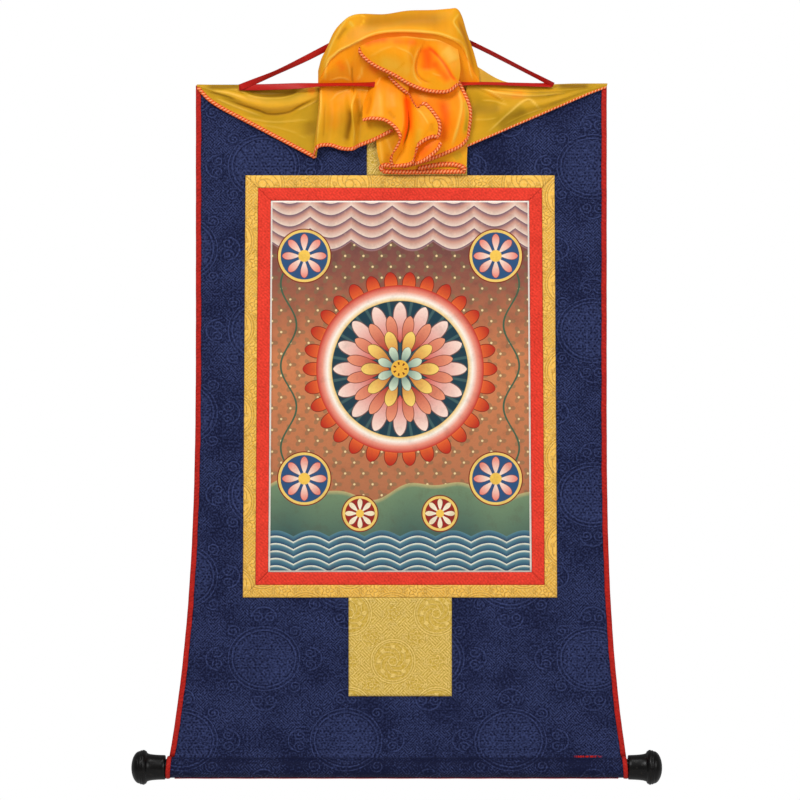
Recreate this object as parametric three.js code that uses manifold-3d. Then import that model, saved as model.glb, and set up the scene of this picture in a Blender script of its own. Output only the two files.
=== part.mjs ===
// A thangka scroll painting on its roller rod, hung by a ribbon, with its silk veil gathered up at the top.
// Millimetres, +Z up. The picture faces -Y. The origin is where the hanging ribbon bears on its hook.
import * as THREE from "three";
import { mergeVertices } from "three/addons/utils/BufferGeometryUtils.js";
import Module from "manifold-3d";

const wasm = await Module();
wasm.setup();

// Driving dimensions
const GAP = 0.3;
const PANEL = { thickness: 2, topZ: -79, leftHalf: 233.4, rightHalf: 236.4 };
const FLARE = { leftStartZ: -327, leftReach: 30.5, rightStartZ: -418, rightReach: 22.4, steps: 16 };
const ROLL = { z: -864, radius: 12, wall: 2, leftX: -267, rightX: 259.5, slant: 0.21, sides: 24 };
const BINDING = { thickness: 0.8, cover: 4.6, topDrop: 9, bandWidth: 5, steps: 24 };
const BOTTOM_STRIP = { thickness: 0.8, halfAngle: 0.3, leftX: -259, rightX: 251, steps: 6 };
const FRAME = { topZ: -183.5, bottomZ: -668.5, topHalf: 177.5, bottomHalf: 180.5, thickness: 1 };
const STRIP = { gold: 14.2, red: 14.4 };
const PATCH = { thickness: 1, lowerZ: -782, lowerLeft: -59, lowerRight: 59.5, upperLeft: -38, upperRight: 77 };
const KNOB = { neckRadius: 14, neckLength: 20.7, rimRadius: 20, domeStart: 28.9, length: 39, sides: 24 };
const RIBBON = { width: 6.5, thickness: 1 };
const VEIL = { thickness: 1 };

// Colours and finishes
const FINISH = {
  navy: { color: 0x272b52, roughness: 0.75, metalness: 0 },
  gold: { color: 0xe2b040, roughness: 0.45, metalness: 0.1 },
  darkGold: { color: 0xc9a744, roughness: 0.45, metalness: 0.1 },
  red: { color: 0xe23a2b, roughness: 0.7, metalness: 0 },
  bindingRed: { color: 0xb8211b, roughness: 0.7, metalness: 0 },
  ribbonRed: { color: 0xb4201c, roughness: 0.4, metalness: 0 },
  canvas: { color: 0xc77b52, roughness: 0.6, metalness: 0 },
  silk: { color: 0xf0a526, roughness: 0.35, metalness: 0 },
  black: { color: 0x161412, roughness: 0.3, metalness: 0 },
};

const scroll = new THREE.Group();

// Adds one named piece of the scroll.
function addPiece(name, geometry, finish) {
  const mesh = new THREE.Mesh(geometry, new THREE.MeshStandardMaterial(FINISH[finish]));
  mesh.name = name;
  scroll.add(mesh);
  return mesh;
}

// A closed geometry as a solid that can be joined and cut.
function solidOf(geometry) {
  const bare = new THREE.BufferGeometry();
  bare.setAttribute("position", geometry.getAttribute("position").clone());
  if (geometry.index) bare.setIndex(geometry.index.clone());
  const merged = mergeVertices(bare, 1e-4);
  const vertProperties = new Float32Array(merged.attributes.position.array);
  const triVerts = new Uint32Array(merged.index.array);
  return new wasm.Manifold(new wasm.Mesh({ numProp: 3, vertProperties, triVerts }));
}

// A joined or cut solid as a geometry again.
function geometryOf(solid) {
  const mesh = solid.getMesh();
  const geometry = new THREE.BufferGeometry();
  geometry.setAttribute("position", new THREE.BufferAttribute(new Float32Array(mesh.vertProperties), 3));
  geometry.setIndex(new THREE.BufferAttribute(new Uint32Array(mesh.triVerts), 1));
  return geometry;
}

// A point given by its x, its drop below the panel's top edge and its distance out from the panel's face.
function hang(x, drop, out) {
  return new THREE.Vector3(x, -(PANEL.thickness / 2 + out), PANEL.topZ - drop);
}

// A flat plate cut to a shape drawn in X and Z, its back standing out from the panel's face.
function plate(shape, thickness, backOut, curveSegments = 1) {
  const geometry = new THREE.ExtrudeGeometry(shape, { depth: thickness, bevelEnabled: false, curveSegments });
  return geometry.rotateX(Math.PI / 2).translate(0, -(PANEL.thickness / 2 + backOut), 0);
}

function polygon(corners) {
  return new THREE.Shape(corners.map(([x, z]) => new THREE.Vector2(x, z)));
}

// A section extruded along X, turned so that the section's own x points down.
function alongX(shape, fromX, toX, curveSegments) {
  const options = { depth: toX - fromX, bevelEnabled: false, curveSegments };
  const geometry = new THREE.ExtrudeGeometry(shape, options);
  return geometry.rotateY(Math.PI / 2).translate(fromX, 0, ROLL.z);
}

// A ring section for the roll and the bands around it.
function ringShape(outerRadius, innerRadius) {
  const ring = new THREE.Shape().absarc(0, 0, outerRadius, 0, 2 * Math.PI, false);
  ring.holes.push(new THREE.Path().absarc(0, 0, innerRadius, 0, 2 * Math.PI, true));
  return ring;
}

// Slants the two ends of a tube around the roll, so that each reaches further out below.
function slantEnds(geometry, leftSlant, rightSlant) {
  const position = geometry.getAttribute("position");
  for (let i = 0; i < position.count; i++) {
    const below = ROLL.z - position.getZ(i);
    const x = position.getX(i);
    position.setX(i, x < 0 ? x - leftSlant * below : x + rightSlant * below);
  }
  return geometry;
}

// Brocade panel: a flat sheet whose lower sides flare outwards, with a casing around the rod at its foot.
function flareOf(side) {
  return side < 0
    ? { half: PANEL.leftHalf, startZ: FLARE.leftStartZ, reach: FLARE.leftReach }
    : { half: PANEL.rightHalf, startZ: FLARE.rightStartZ, reach: FLARE.rightReach };
}

function panelEdgeX(side, z) {
  const { half, startZ, reach } = flareOf(side);
  const share = Math.max(0, (startZ - z) / (startZ - ROLL.z - ROLL.radius));
  return side * (half + reach * share ** 3);
}

function panelGeometry() {
  const footZ = ROLL.z + ROLL.radius - ROLL.wall / 2;
  const third = (startZ, share) => startZ + (share * (footZ - startZ)) / 3;
  const [left, right] = [flareOf(-1), flareOf(1)];
  const [leftFoot, rightFoot] = [panelEdgeX(-1, footZ), panelEdgeX(1, footZ)];
  const outline = new THREE.Shape();
  outline.moveTo(-left.half, PANEL.topZ);
  outline.lineTo(-left.half, left.startZ);
  outline.bezierCurveTo(
    -left.half, third(left.startZ, 1), -left.half, third(left.startZ, 2), leftFoot, footZ,
  );
  outline.lineTo(rightFoot, footZ);
  outline.bezierCurveTo(
    right.half, third(right.startZ, 2), right.half, third(right.startZ, 1), right.half, right.startZ,
  );
  outline.lineTo(right.half, PANEL.topZ);
  const sheet = plate(outline, PANEL.thickness, -PANEL.thickness, FLARE.steps);
  const ring = ringShape(ROLL.radius, ROLL.radius - ROLL.wall);
  const casing = slantEnds(alongX(ring, ROLL.leftX, ROLL.rightX, ROLL.sides / 2), ROLL.slant, ROLL.slant);
  return geometryOf(solidOf(sheet).add(solidOf(casing)));
}

// A solid swept through rings of points, its two ends closed by the flat section's own triangles.
function sweep(rings, section) {
  const count = section.length;
  const position = rings.flat().flatMap((p) => [p.x, p.y, p.z]);
  const index = [];
  for (let r = 0; r + 1 < rings.length; r++) {
    for (let i = 0; i < count; i++) {
      const [a, b] = [r * count + i, r * count + ((i + 1) % count)];
      index.push(a, b, b + count, a, b + count, a + count);
    }
  }
  const last = (rings.length - 1) * count;
  for (const [a, b, c] of THREE.ShapeUtils.triangulateShape(section, [])) {
    index.push(c, b, a, last + a, last + b, last + c);
  }
  const geometry = new THREE.BufferGeometry();
  geometry.setAttribute("position", new THREE.Float32BufferAttribute(position, 3));
  geometry.setIndex(index);
  return geometry;
}

// Side binding: a folded strip around the panel's cut edge that goes on as a band around the end of the roll.
function bindingGeometry(side) {
  const inner = PANEL.thickness / 2 + GAP;
  const outer = inner + BINDING.thickness;
  const edge = GAP + BINDING.thickness;
  const section = [
    [-BINDING.cover, -outer], [edge, -outer], [edge, outer], [-BINDING.cover, outer],
    [-BINDING.cover, inner], [GAP, inner], [GAP, -inner], [-BINDING.cover, -inner],
  ].map(([across, depth]) => new THREE.Vector2(across, depth));
  const topZ = PANEL.topZ - BINDING.topDrop;
  const footZ = ROLL.z + ROLL.radius + GAP;
  const rings = [];
  for (let i = 0; i <= BINDING.steps; i++) {
    const z = THREE.MathUtils.lerp(topZ, footZ, i / BINDING.steps);
    const level = i === BINDING.steps;
    const slope = level ? 0 : panelEdgeX(side, z + 0.5) - panelEdgeX(side, z - 0.5);
    const outward = new THREE.Vector2(side, -side * slope).normalize();
    const x = panelEdgeX(side, z);
    rings.push(section.map((p) => new THREE.Vector3(x + outward.x * p.x, p.y, z + outward.y * p.x)));
  }
  const channel = solidOf(sweep(side < 0 ? rings : rings.reverse(), section));

  const bandShape = ringShape(ROLL.radius + GAP + BINDING.thickness, ROLL.radius + GAP);
  const endX = side < 0 ? ROLL.leftX : ROLL.rightX;
  const [fromX, toX] = [endX, endX - side * BINDING.bandWidth].sort((a, b) => a - b);
  const band = slantEnds(alongX(bandShape, fromX, toX, ROLL.sides / 2), ROLL.slant, ROLL.slant);
  const slot = new THREE.BoxGeometry(4 * BINDING.bandWidth, 2 * inner, ROLL.radius);
  slot.translate(endX, 0, ROLL.z + ROLL.radius + GAP);
  return geometryOf(channel.add(solidOf(band).subtract(solidOf(slot))));
}

// Narrow strip sewn along the underside of the roll.
function bottomStripGeometry() {
  const inner = ROLL.radius + GAP;
  const outer = inner + BOTTOM_STRIP.thickness;
  const strip = new THREE.Shape();
  strip.absarc(0, 0, outer, -BOTTOM_STRIP.halfAngle, BOTTOM_STRIP.halfAngle, false);
  strip.absarc(0, 0, inner, BOTTOM_STRIP.halfAngle, -BOTTOM_STRIP.halfAngle, true);
  return alongX(strip, BOTTOM_STRIP.leftX, BOTTOM_STRIP.rightX, BOTTOM_STRIP.steps);
}

// Mitred strips around the picture: four corners outside and four inside, in order from the top left.
function frameCorners(inset) {
  const [topZ, bottomZ] = [FRAME.topZ - inset, FRAME.bottomZ + inset];
  const [top, bottom] = [FRAME.topHalf - inset, FRAME.bottomHalf - inset];
  return [[-top, topZ], [top, topZ], [bottom, bottomZ], [-bottom, bottomZ]];
}

function addMitredStrips(prefix, outerInset, width, finish) {
  const outside = frameCorners(outerInset);
  const inside = frameCorners(outerInset + width);
  ["top", "right", "bottom", "left"].forEach((place, i) => {
    const next = (i + 1) % 4;
    const run = new THREE.Vector2(outside[next][0] - outside[i][0], outside[next][1] - outside[i][1]);
    run.normalize().multiplyScalar(GAP);
    const start = ([x, z]) => [x + run.x, z + run.y];
    const end = ([x, z]) => [x - run.x, z - run.y];
    const corners = [start(outside[i]), start(inside[i]), end(inside[next]), end(outside[next])];
    addPiece(`${prefix}_${place}`, plate(polygon(corners), FRAME.thickness, GAP), finish);
  });
}

function addPatches() {
  const { lowerLeft, lowerRight, lowerZ, upperLeft, upperRight, thickness } = PATCH;
  const lowerTopZ = FRAME.bottomZ - GAP;
  const upperFootZ = FRAME.topZ + GAP;
  const lower = [[lowerLeft, lowerTopZ], [lowerLeft, lowerZ], [lowerRight, lowerZ], [lowerRight, lowerTopZ]];
  const upper = [
    [upperLeft, PANEL.topZ], [upperLeft, upperFootZ], [upperRight, upperFootZ], [upperRight, PANEL.topZ],
  ];
  addPiece("patch_lower", plate(polygon(lower), thickness, GAP), "darkGold");
  addPiece("patch_upper", plate(polygon(upper), thickness, GAP), "darkGold");
}

// Turned knob: a flared neck, a stepped rim and a domed end, from the neck's inner face outwards.
function knobGeometry(side, faceX) {
  const { neckRadius, neckLength, rimRadius, domeStart, length } = KNOB;
  const profile = [
    [0, 0], [neckRadius, 0], [neckRadius + 0.6, 0.6 * neckLength], [neckRadius + 2, neckLength],
    [rimRadius - 1.6, neckLength + 2], [rimRadius, neckLength + 3.6], [rimRadius, neckLength + 5.4],
    [rimRadius - 0.9, neckLength + 6.2], [rimRadius - 0.5, neckLength + 7.2],
  ];
  const domeSteps = 6;
  for (let i = 0; i <= domeSteps; i++) {
    const turn = (i / domeSteps) * (Math.PI / 2);
    const radius = i === domeSteps ? 0 : (rimRadius - 1) * Math.cos(turn);
    profile.push([radius, domeStart + (length - domeStart) * Math.sin(turn)]);
  }
  const points = profile.map(([radius, along]) => new THREE.Vector2(radius, along));
  const knob = new THREE.LatheGeometry(points, KNOB.sides);
  return knob.rotateZ(side < 0 ? Math.PI / 2 : -Math.PI / 2).translate(faceX, 0, ROLL.z);
}

function addRoller() {
  const reach = ROLL.slant * ROLL.radius + GAP;
  const [leftX, rightX] = [ROLL.leftX - reach, ROLL.rightX + reach];
  const rodRadius = ROLL.radius - ROLL.wall - GAP;
  const rodLength = rightX - leftX - 2 * GAP;
  const rod = new THREE.CylinderGeometry(rodRadius, rodRadius, rodLength, ROLL.sides);
  addPiece("rod", rod.rotateZ(Math.PI / 2).translate((leftX + rightX) / 2, 0, ROLL.z), "black");
  addPiece("knob_left", knobGeometry(-1, leftX), "black");
  addPiece("knob_right", knobGeometry(1, rightX), "black");
}

// A smooth line through points, each given as [x, drop, out].
function smoothLine(points) {
  return new THREE.CatmullRomCurve3(points.map((p) => hang(...p)), false, "catmullrom", 0.5);
}

// A ribbon along a hand-laid route, its face to the front.
function ribbonGeometry(route, steps) {
  const line = smoothLine(route);
  const [halfWidth, halfThickness] = [RIBBON.width / 2, RIBBON.thickness / 2];
  const section = [
    [-halfWidth, -halfThickness], [halfWidth, -halfThickness],
    [halfWidth, halfThickness], [-halfWidth, halfThickness],
  ].map(([across, depth]) => new THREE.Vector2(across, depth));
  const rings = [];
  for (let i = 0; i <= steps; i++) {
    const at = line.getPoint(i / steps);
    const along = line.getTangent(i / steps);
    const across = new THREE.Vector3(-along.z, 0, along.x).normalize();
    const depth = new THREE.Vector3().crossVectors(along, across).normalize();
    rings.push(section.map((p) => at.clone().addScaledVector(across, p.x).addScaledVector(depth, p.y)));
  }
  return sweep(rings, section);
}

// Ribbon routes, from the left anchor to the right one, as [x, drop, out].
const HANGING_ROUTE = [
  [-184, 4, 5.8], [-165, -3.6, 6.2], [-145, -12.2, 4.4], [-125, -21.6, 2.8], [-105, -31.5, 1.8],
  [-80, -44.6, 0.8], [-45, -63, 0], [-20, -74.5, -0.6], [-8, -78.2, -1], [0, -79, -1], [8, -78.2, -1],
  [20, -74.3, -0.6], [45, -64.5, 0], [80, -48.3, 0.8], [105, -36, 1.8], [145, -15, 4.4], [165, -4.6, 6.2],
  [176, 1.4, 5.8],
];
const TIE_ROUTE = [
  [-185, 3.6, 4.4], [-172, 3.6, 4.6], [-158, 3.6, 5.2], [-140, 3.3, 7.6], [-120, 2.8, 10.4], [-104, 2.2, 12],
  [-92, 1.6, 12.7], [-74, 1.2, 12.9], [-55, 1.1, 13], [-36, 1.2, 12.8], [-17, 1.4, 12.5], [20, 1.4, 12.3],
  [58, 0.8, 12.3], [76, 0.2, 12.2], [94, -0.2, 11.4], [115, 0, 9.2], [138, 0.4, 6.4], [158, 0.8, 4.6],
  [174, 1, 4.4],
];

// A sheet lofted through fold lines: smooth along each line, and smooth from one line to the next.
function foldedSurface(foldLines) {
  const lines = foldLines.map(smoothLine);
  return (across, along) => {
    const points = lines.map((line) => line.getPoint(along));
    return new THREE.CatmullRomCurve3(points, false, "catmullrom", 0.5).getPoint(across);
  };
}

// The sheet's front and back faces, half its thickness each side of the surface, closed around the rim.
function sheetGeometry(surface, acrossSteps, alongSteps, thickness) {
  const small = 1e-3;
  const [front, back] = [[], []];
  for (let i = 0; i <= acrossSteps; i++) {
    for (let j = 0; j <= alongSteps; j++) {
      const [u, v] = [i / acrossSteps, j / alongSteps];
      const sideways = surface(Math.min(1, u + small), v).sub(surface(Math.max(0, u - small), v));
      const lengthways = surface(u, Math.min(1, v + small)).sub(surface(u, Math.max(0, v - small)));
      const normal = sideways.cross(lengthways).normalize().multiplyScalar(thickness / 2);
      const at = surface(u, v);
      front.push(at.clone().add(normal));
      back.push(at.clone().sub(normal));
    }
  }
  const row = alongSteps + 1;
  const backStart = front.length;
  const index = [];
  const quad = (a, b, c, d) => index.push(a, b, c, a, c, d);
  for (let i = 0; i < acrossSteps; i++) {
    for (let j = 0; j < alongSteps; j++) {
      const a = i * row + j;
      quad(a, a + row, a + row + 1, a + 1);
      quad(backStart + a, backStart + a + 1, backStart + a + row + 1, backStart + a + row);
    }
  }
  const rim = [];
  for (let i = 0; i < acrossSteps; i++) rim.push(i * row);
  for (let j = 0; j < alongSteps; j++) rim.push(acrossSteps * row + j);
  for (let i = acrossSteps; i > 0; i--) rim.push(i * row + alongSteps);
  for (let j = alongSteps; j > 0; j--) rim.push(j);
  rim.forEach((a, i) => {
    const b = rim[(i + 1) % rim.length];
    quad(b, a, backStart + a, backStart + b);
  });
  const geometry = new THREE.BufferGeometry();
  const position = [...front, ...back].flatMap((p) => [p.x, p.y, p.z]);
  geometry.setAttribute("position", new THREE.Float32BufferAttribute(position, 3));
  geometry.setIndex(index);
  return geometry;
}

// The veil's lobes. Each row is one fold line, ridge or trough, as [x, drop, out] at its named places.
// Swags: fold lines fan out from a top corner, from the sewn edge down to the hem.
const LEFT_SWAG = [
  { corner: [-236, 0, 2.2], middle: [-163, 0.5, 1.1], centre: [-80, 0, 4] },
  { corner: [-235.8, 1, 2.3], middle: [-159, 12, 3.2], centre: [-80, 4, 6] },
  { corner: [-235.6, 2.2, 2.6], middle: [-155, 17, 10], centre: [-80, 8, 11] },
  { corner: [-235.4, 3.6, 2.9], middle: [-150, 26, 12], centre: [-81, 15, 12] },
  { corner: [-235.3, 5, 2.8], middle: [-149, 34, 5.5], centre: [-82, 22, 7] },
  { corner: [-235.2, 6.4, 2.6], middle: [-156, 38, 4], centre: [-87, 45, 6] },
  { corner: [-235.6, 8, 2.5], middle: [-166, 42, 3], centre: [-95, 83, 5] },
];
const RIGHT_SWAG = [
  { corner: [238.4, -1.5, 2.2], middle: [142, -0.5, 2], centre: [80, -22, 7] },
  { corner: [238.3, 0, 2.3], middle: [150, 6, 3.6], centre: [78, -4, 8] },
  { corner: [238.2, 1.6, 2.6], middle: [165, 11, 9], centre: [76, 8, 9.5] },
  { corner: [238, 3.2, 2.8], middle: [163, 18, 5], centre: [75, 22, 7.5] },
  { corner: [237.9, 4.8, 2.8], middle: [160, 25, 8], centre: [73, 40, 8.5] },
  { corner: [237.9, 6.4, 2.6], middle: [158, 31, 4], centre: [71, 58, 7] },
  { corner: [238.2, 8, 2.5], middle: [158, 35, 3], centre: [68, 75, 6] },
];
// Skirt: the part that hangs left of the middle, from the tie down to its hem.
const SKIRT = [
  { tie: [-92, 1, 7], belly: [-94, 34, 9], hem: [-100, 83, 6] },
  { tie: [-90, 1, 8], belly: [-90, 34, 17], hem: [-94, 72, 12] },
  { tie: [-78, 1, 7], belly: [-76, 34, 9], hem: [-80, 70, 7] },
  { tie: [-66, 1, 7.5], belly: [-64, 35, 12], hem: [-67, 74, 9] },
  { tie: [-55, 1, 8], belly: [-55, 35, 19], hem: [-55, 75, 14] },
  { tie: [-44, 1, 7], belly: [-44, 33, 9], hem: [-46, 70, 7] },
  { tie: [-30, 1, 7.5], belly: [-28, 30, 13], hem: [-30, 64, 10] },
  { tie: [-16, 2, 7.5], belly: [-12, 26, 12], hem: [-8, 53, 12] },
];
// Puff: sections across the part that is pulled up over the tie, by the heights of its crest and its lip.
const PUFF = [
  { x: -94, crest: 15, lip: 6, lipOut: 10, tuckOut: 10 },
  { x: -90, crest: 29, lip: 20, lipOut: 16, tuckOut: 14 },
  { x: -84, crest: 40, lip: 29, lipOut: 21, tuckOut: 18 },
  { x: -77, crest: 56, lip: 36, lipOut: 25, tuckOut: 21 },
  { x: -69, crest: 66.5, lip: 41, lipOut: 29, tuckOut: 23 },
  { x: -57, crest: 75.5, lip: 48, lipOut: 33, tuckOut: 25 },
  { x: -44, crest: 78, lip: 55, lipOut: 36, tuckOut: 22 },
  { x: -18, crest: 77, lip: 60, lipOut: 39, tuckOut: 18 },
  { x: 9, crest: 81, lip: 62, lipOut: 40, tuckOut: 17 },
  { x: 37, crest: 82, lip: 59, lipOut: 38, tuckOut: 17 },
  { x: 56, crest: 84, lip: 53, lipOut: 34, tuckOut: 18 },
  { x: 65, crest: 84.5, lip: 48, lipOut: 30, tuckOut: 19 },
  { x: 71, crest: 76, lip: 40, lipOut: 25, tuckOut: 18 },
  { x: 77, crest: 57, lip: 29, lipOut: 20, tuckOut: 16 },
  { x: 84, crest: 38, lip: 17, lipOut: 15, tuckOut: 13 },
  { x: 91, crest: 13, lip: 6, lipOut: 10, tuckOut: 10 },
];
// Flap: the layer that falls from under the puff's lip, in front of the tie.
const FLAP = [
  { lip: [-49, -46, 30], belly: [-48.5, -42, 31], hem: [-47, -36, 29] },
  { lip: [-34, -55, 32], belly: [-31, -38, 33], hem: [-26, -19.5, 28] },
  { lip: [-14, -58, 34], belly: [-9, -36, 36], hem: [-3, -10, 29] },
  { lip: [7, -60, 35], belly: [10, -31, 37], hem: [15, -1, 29] },
  { lip: [23, -58, 34], belly: [21, -26, 27], hem: [28, 5, 24] },
  { lip: [39, -56, 32.5], belly: [40, -24, 31], hem: [43, 7.5, 27] },
  { lip: [54, -51, 29], belly: [56, -22, 29], hem: [57.5, 6, 26] },
  { lip: [66, -43, 25], belly: [70, -19, 24], hem: [69, -1, 22] },
];
// Tail: four layers that fall below the tie, each with its own hem.
const TAIL_LEFT = [
  { top: [-22, -12, 9], over: [-26, 4, 15.8], belly: [-34, 24, 19], hem: [-42.5, 41, 20] },
  { top: [-16, -12, 9], over: [-19, 5, 17], belly: [-25, 26, 23], hem: [-32, 45, 24.5] },
  { top: [-10, -12, 9], over: [-11, 5, 17], belly: [-13, 26, 22], hem: [-17, 44, 22.5] },
  { top: [-4, -12, 9], over: [-3, 6, 17.5], belly: [-1, 33, 25], hem: [-4.5, 56, 24.5] },
  { top: [1, -12, 9], over: [2, 7, 18], belly: [4, 48, 26], hem: [-4.5, 80.5, 22] },
  { top: [6, -12, 9], over: [7.5, 8, 17], belly: [9, 54, 22], hem: [-2, 94, 18] },
  { top: [11, -12, 9], over: [12.5, 9, 16], belly: [14, 54, 14.5], hem: [9, 94, 12] },
];
const TAIL_FRONT = [
  { top: [10, -20, 9], over: [11.5, 9, 16], belly: [12.5, 54, 15.5], hem: [4.5, 95, 13] },
  { top: [13, -20, 9], over: [15, 10, 18], belly: [18.5, 51, 25], hem: [11.5, 93, 19] },
  { top: [16, -20, 9], over: [18, 11, 20], belly: [26, 45, 30], hem: [22, 86, 23.5] },
  { top: [19, -20, 9], over: [21, 13, 20], belly: [34.5, 41, 30], hem: [37, 77, 25.5] },
  { top: [22, -20, 9], over: [24, 16, 19], belly: [41, 38, 27], hem: [46, 65.5, 23.5] },
];
const TAIL_RIGHT = [
  { top: [16, -20, 9], over: [18, 6, 15.6], belly: [27, 46, 16], hem: [2.5, 95.5, 10] },
  { top: [29, -20, 9], over: [31, 6, 16], belly: [43.5, 43, 19], hem: [32, 87.5, 12] },
  { top: [43, -20, 9], over: [45, 6, 16], belly: [58.5, 40, 21], hem: [54, 79, 13] },
  { top: [56, -20, 9], over: [59, 6, 15.8], belly: [70, 36, 20], hem: [70, 71, 13] },
  { top: [66, -20, 9], over: [71, 6, 15.2], belly: [80.5, 31, 16], hem: [78, 62, 11] },
];
const TAIL_BASE = [
  { top: [-9, 3, 8], over: [-11, 15, 8], belly: [-16, 63, 6.5], hem: [-20.5, 99, 6] },
  { top: [11, 3, 8], over: [11, 15, 8.5], belly: [9, 63, 8], hem: [7, 101, 7] },
  { top: [34, 3, 8], over: [34.5, 15, 8], belly: [35.5, 63, 7], hem: [34.5, 100, 6] },
  { top: [54, 3, 8], over: [55.5, 15, 8.5], belly: [60, 63, 8], hem: [60, 100, 7] },
  { top: [68, 3, 7.5], over: [70, 15, 8], belly: [77, 60, 6.5], hem: [76, 98, 6] },
];

// One puff section: up the back, over the crest, down the brow to the lip, and tucked in to the tie.
function puffSection({ x, crest, lip, lipOut, tuckOut }) {
  const [backOut, pinchOut] = [5.2, 9];
  return [
    [x, 2, backOut],
    [x, -0.55 * crest, backOut],
    [x, -crest, 0.42 * lipOut + 3],
    [x, -(lip + 0.6 * (crest - lip)), 0.86 * lipOut],
    [x, -lip, lipOut],
    [x, -(lip - 0.07 * lip - 1), lipOut - 0.1 * (lipOut - 8)],
    [x, -0.5 * lip, tuckOut],
    [x, 1, pinchOut],
  ];
}

// The gathered neck of cloth behind the tie, where the lobes meet.
function gatherGeometry() {
  const [halfLength, halfDepth, halfHeight] = [92, 2.4, 4.2];
  const neck = new THREE.SphereGeometry(1, 20, 8).rotateZ(Math.PI / 2);
  const middle = hang(-1, 1.5, 7.6);
  return neck.scale(halfLength, halfDepth, halfHeight).translate(middle.x, middle.y, middle.z);
}

function veilGeometry() {
  const places = (rows) => rows.map((row) => Object.values(row));
  const lobes = [
    { lines: places(LEFT_SWAG), across: 12, along: 16 },
    { lines: places(RIGHT_SWAG), across: 12, along: 14 },
    { lines: places(SKIRT), across: 16, along: 7 },
    { lines: PUFF.map(puffSection), across: 20, along: 18 },
    { lines: places(FLAP), across: 12, along: 6 },
    { lines: places(TAIL_LEFT), across: 12, along: 10 },
    { lines: places(TAIL_FRONT), across: 8, along: 10 },
    { lines: places(TAIL_RIGHT), across: 8, along: 9 },
    { lines: places(TAIL_BASE), across: 6, along: 7 },
  ];
  let veil = solidOf(gatherGeometry());
  for (const { lines, across, along } of lobes) {
    veil = veil.add(solidOf(sheetGeometry(foldedSurface(lines), across, along, VEIL.thickness)));
  }
  return geometryOf(veil);
}

addPiece("panel", panelGeometry(), "navy");
addPiece("binding_left", bindingGeometry(-1), "bindingRed");
addPiece("binding_right", bindingGeometry(1), "bindingRed");
addPiece("bottom_strip", bottomStripGeometry(), "bindingRed");
addMitredStrips("gold", 0, STRIP.gold, "gold");
addMitredStrips("red", STRIP.gold + GAP, STRIP.red, "red");
const paintingInset = STRIP.gold + STRIP.red + 2 * GAP;
addPiece("painting", plate(polygon(frameCorners(paintingInset).reverse()), FRAME.thickness, GAP), "canvas");
addPatches();
addRoller();
addPiece("hanging_ribbon", ribbonGeometry(HANGING_ROUTE, 40), "ribbonRed");
addPiece("tie_ribbon", ribbonGeometry(TIE_ROUTE, 40), "ribbonRed");
addPiece("veil", veilGeometry(), "silk");

export default scroll;
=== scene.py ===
"""Dresses a thangka scroll painting on its roller rod: brocades, lotus painting, silk veil, ribbons and knobs."""

import math

import bmesh
import bpy
import numpy as np
from bpy.props import FloatProperty, FloatVectorProperty, IntProperty, PointerProperty
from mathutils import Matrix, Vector


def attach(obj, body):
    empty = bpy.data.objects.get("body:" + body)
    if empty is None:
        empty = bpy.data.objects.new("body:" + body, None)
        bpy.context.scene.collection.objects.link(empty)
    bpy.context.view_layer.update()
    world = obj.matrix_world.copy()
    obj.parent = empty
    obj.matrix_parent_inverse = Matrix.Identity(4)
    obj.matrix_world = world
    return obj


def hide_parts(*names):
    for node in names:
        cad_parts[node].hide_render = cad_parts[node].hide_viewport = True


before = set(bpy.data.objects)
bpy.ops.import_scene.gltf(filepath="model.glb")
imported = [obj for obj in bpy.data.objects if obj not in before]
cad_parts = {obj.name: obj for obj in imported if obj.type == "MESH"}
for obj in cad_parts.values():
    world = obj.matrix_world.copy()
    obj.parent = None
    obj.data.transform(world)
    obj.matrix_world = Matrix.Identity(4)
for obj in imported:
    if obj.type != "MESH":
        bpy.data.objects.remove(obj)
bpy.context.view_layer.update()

bl_info = {
    "name": "Thangka scroll",
    "version": (1, 0, 0),
    "blender": (4, 5, 0),
    "location": "View3D > Sidebar > Scroll",
    "description": "Makes a hanging scroll painting with its brocades, veil, ribbons and roller",
    "category": "Object",
}

MM = 0.001
BODY = "root"
TO_VIEWER = Vector((0.0, -1.0, 0.0))

# Sizes of the frame in millimetres: the origin is the hook, and the panel's face looks to -Y.
PANEL_TOP = -79.0
PANEL_HALF = 1.0
PANEL_LEFT, PANEL_RIGHT = 233.4, 236.4
FLARES = {-1: (PANEL_LEFT, -327.0, 30.5), 1: (PANEL_RIGHT, -418.0, 22.4)}
ROLL_Z, ROLL_RADIUS, ROLL_WALL = -864.0, 12.0, 2.0
ROLL_LEFT, ROLL_RIGHT, ROLL_SLANT = -267.0, 259.5, 0.21
GAP = 0.3
CAMERA_DISTANCE, CAMERA_Z = 3.4, -0.4416
FRAME_TOP, FRAME_BOTTOM = -183.5, -668.5
FRAME_TOP_HALF, FRAME_BOTTOM_HALF = 177.5, 180.5
GOLD_WIDTH, RED_WIDTH = 14.2, 14.4
STRIP_THICKNESS = 1.0
PATCHES = {
    "patch_lower": (-59.0, 59.5, FRAME_BOTTOM - GAP, -782.0),
    "patch_upper": (-38.0, 77.0, PANEL_TOP, FRAME_TOP + GAP),
}
KNOB_REACH = ROLL_SLANT * ROLL_RADIUS + GAP

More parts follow.
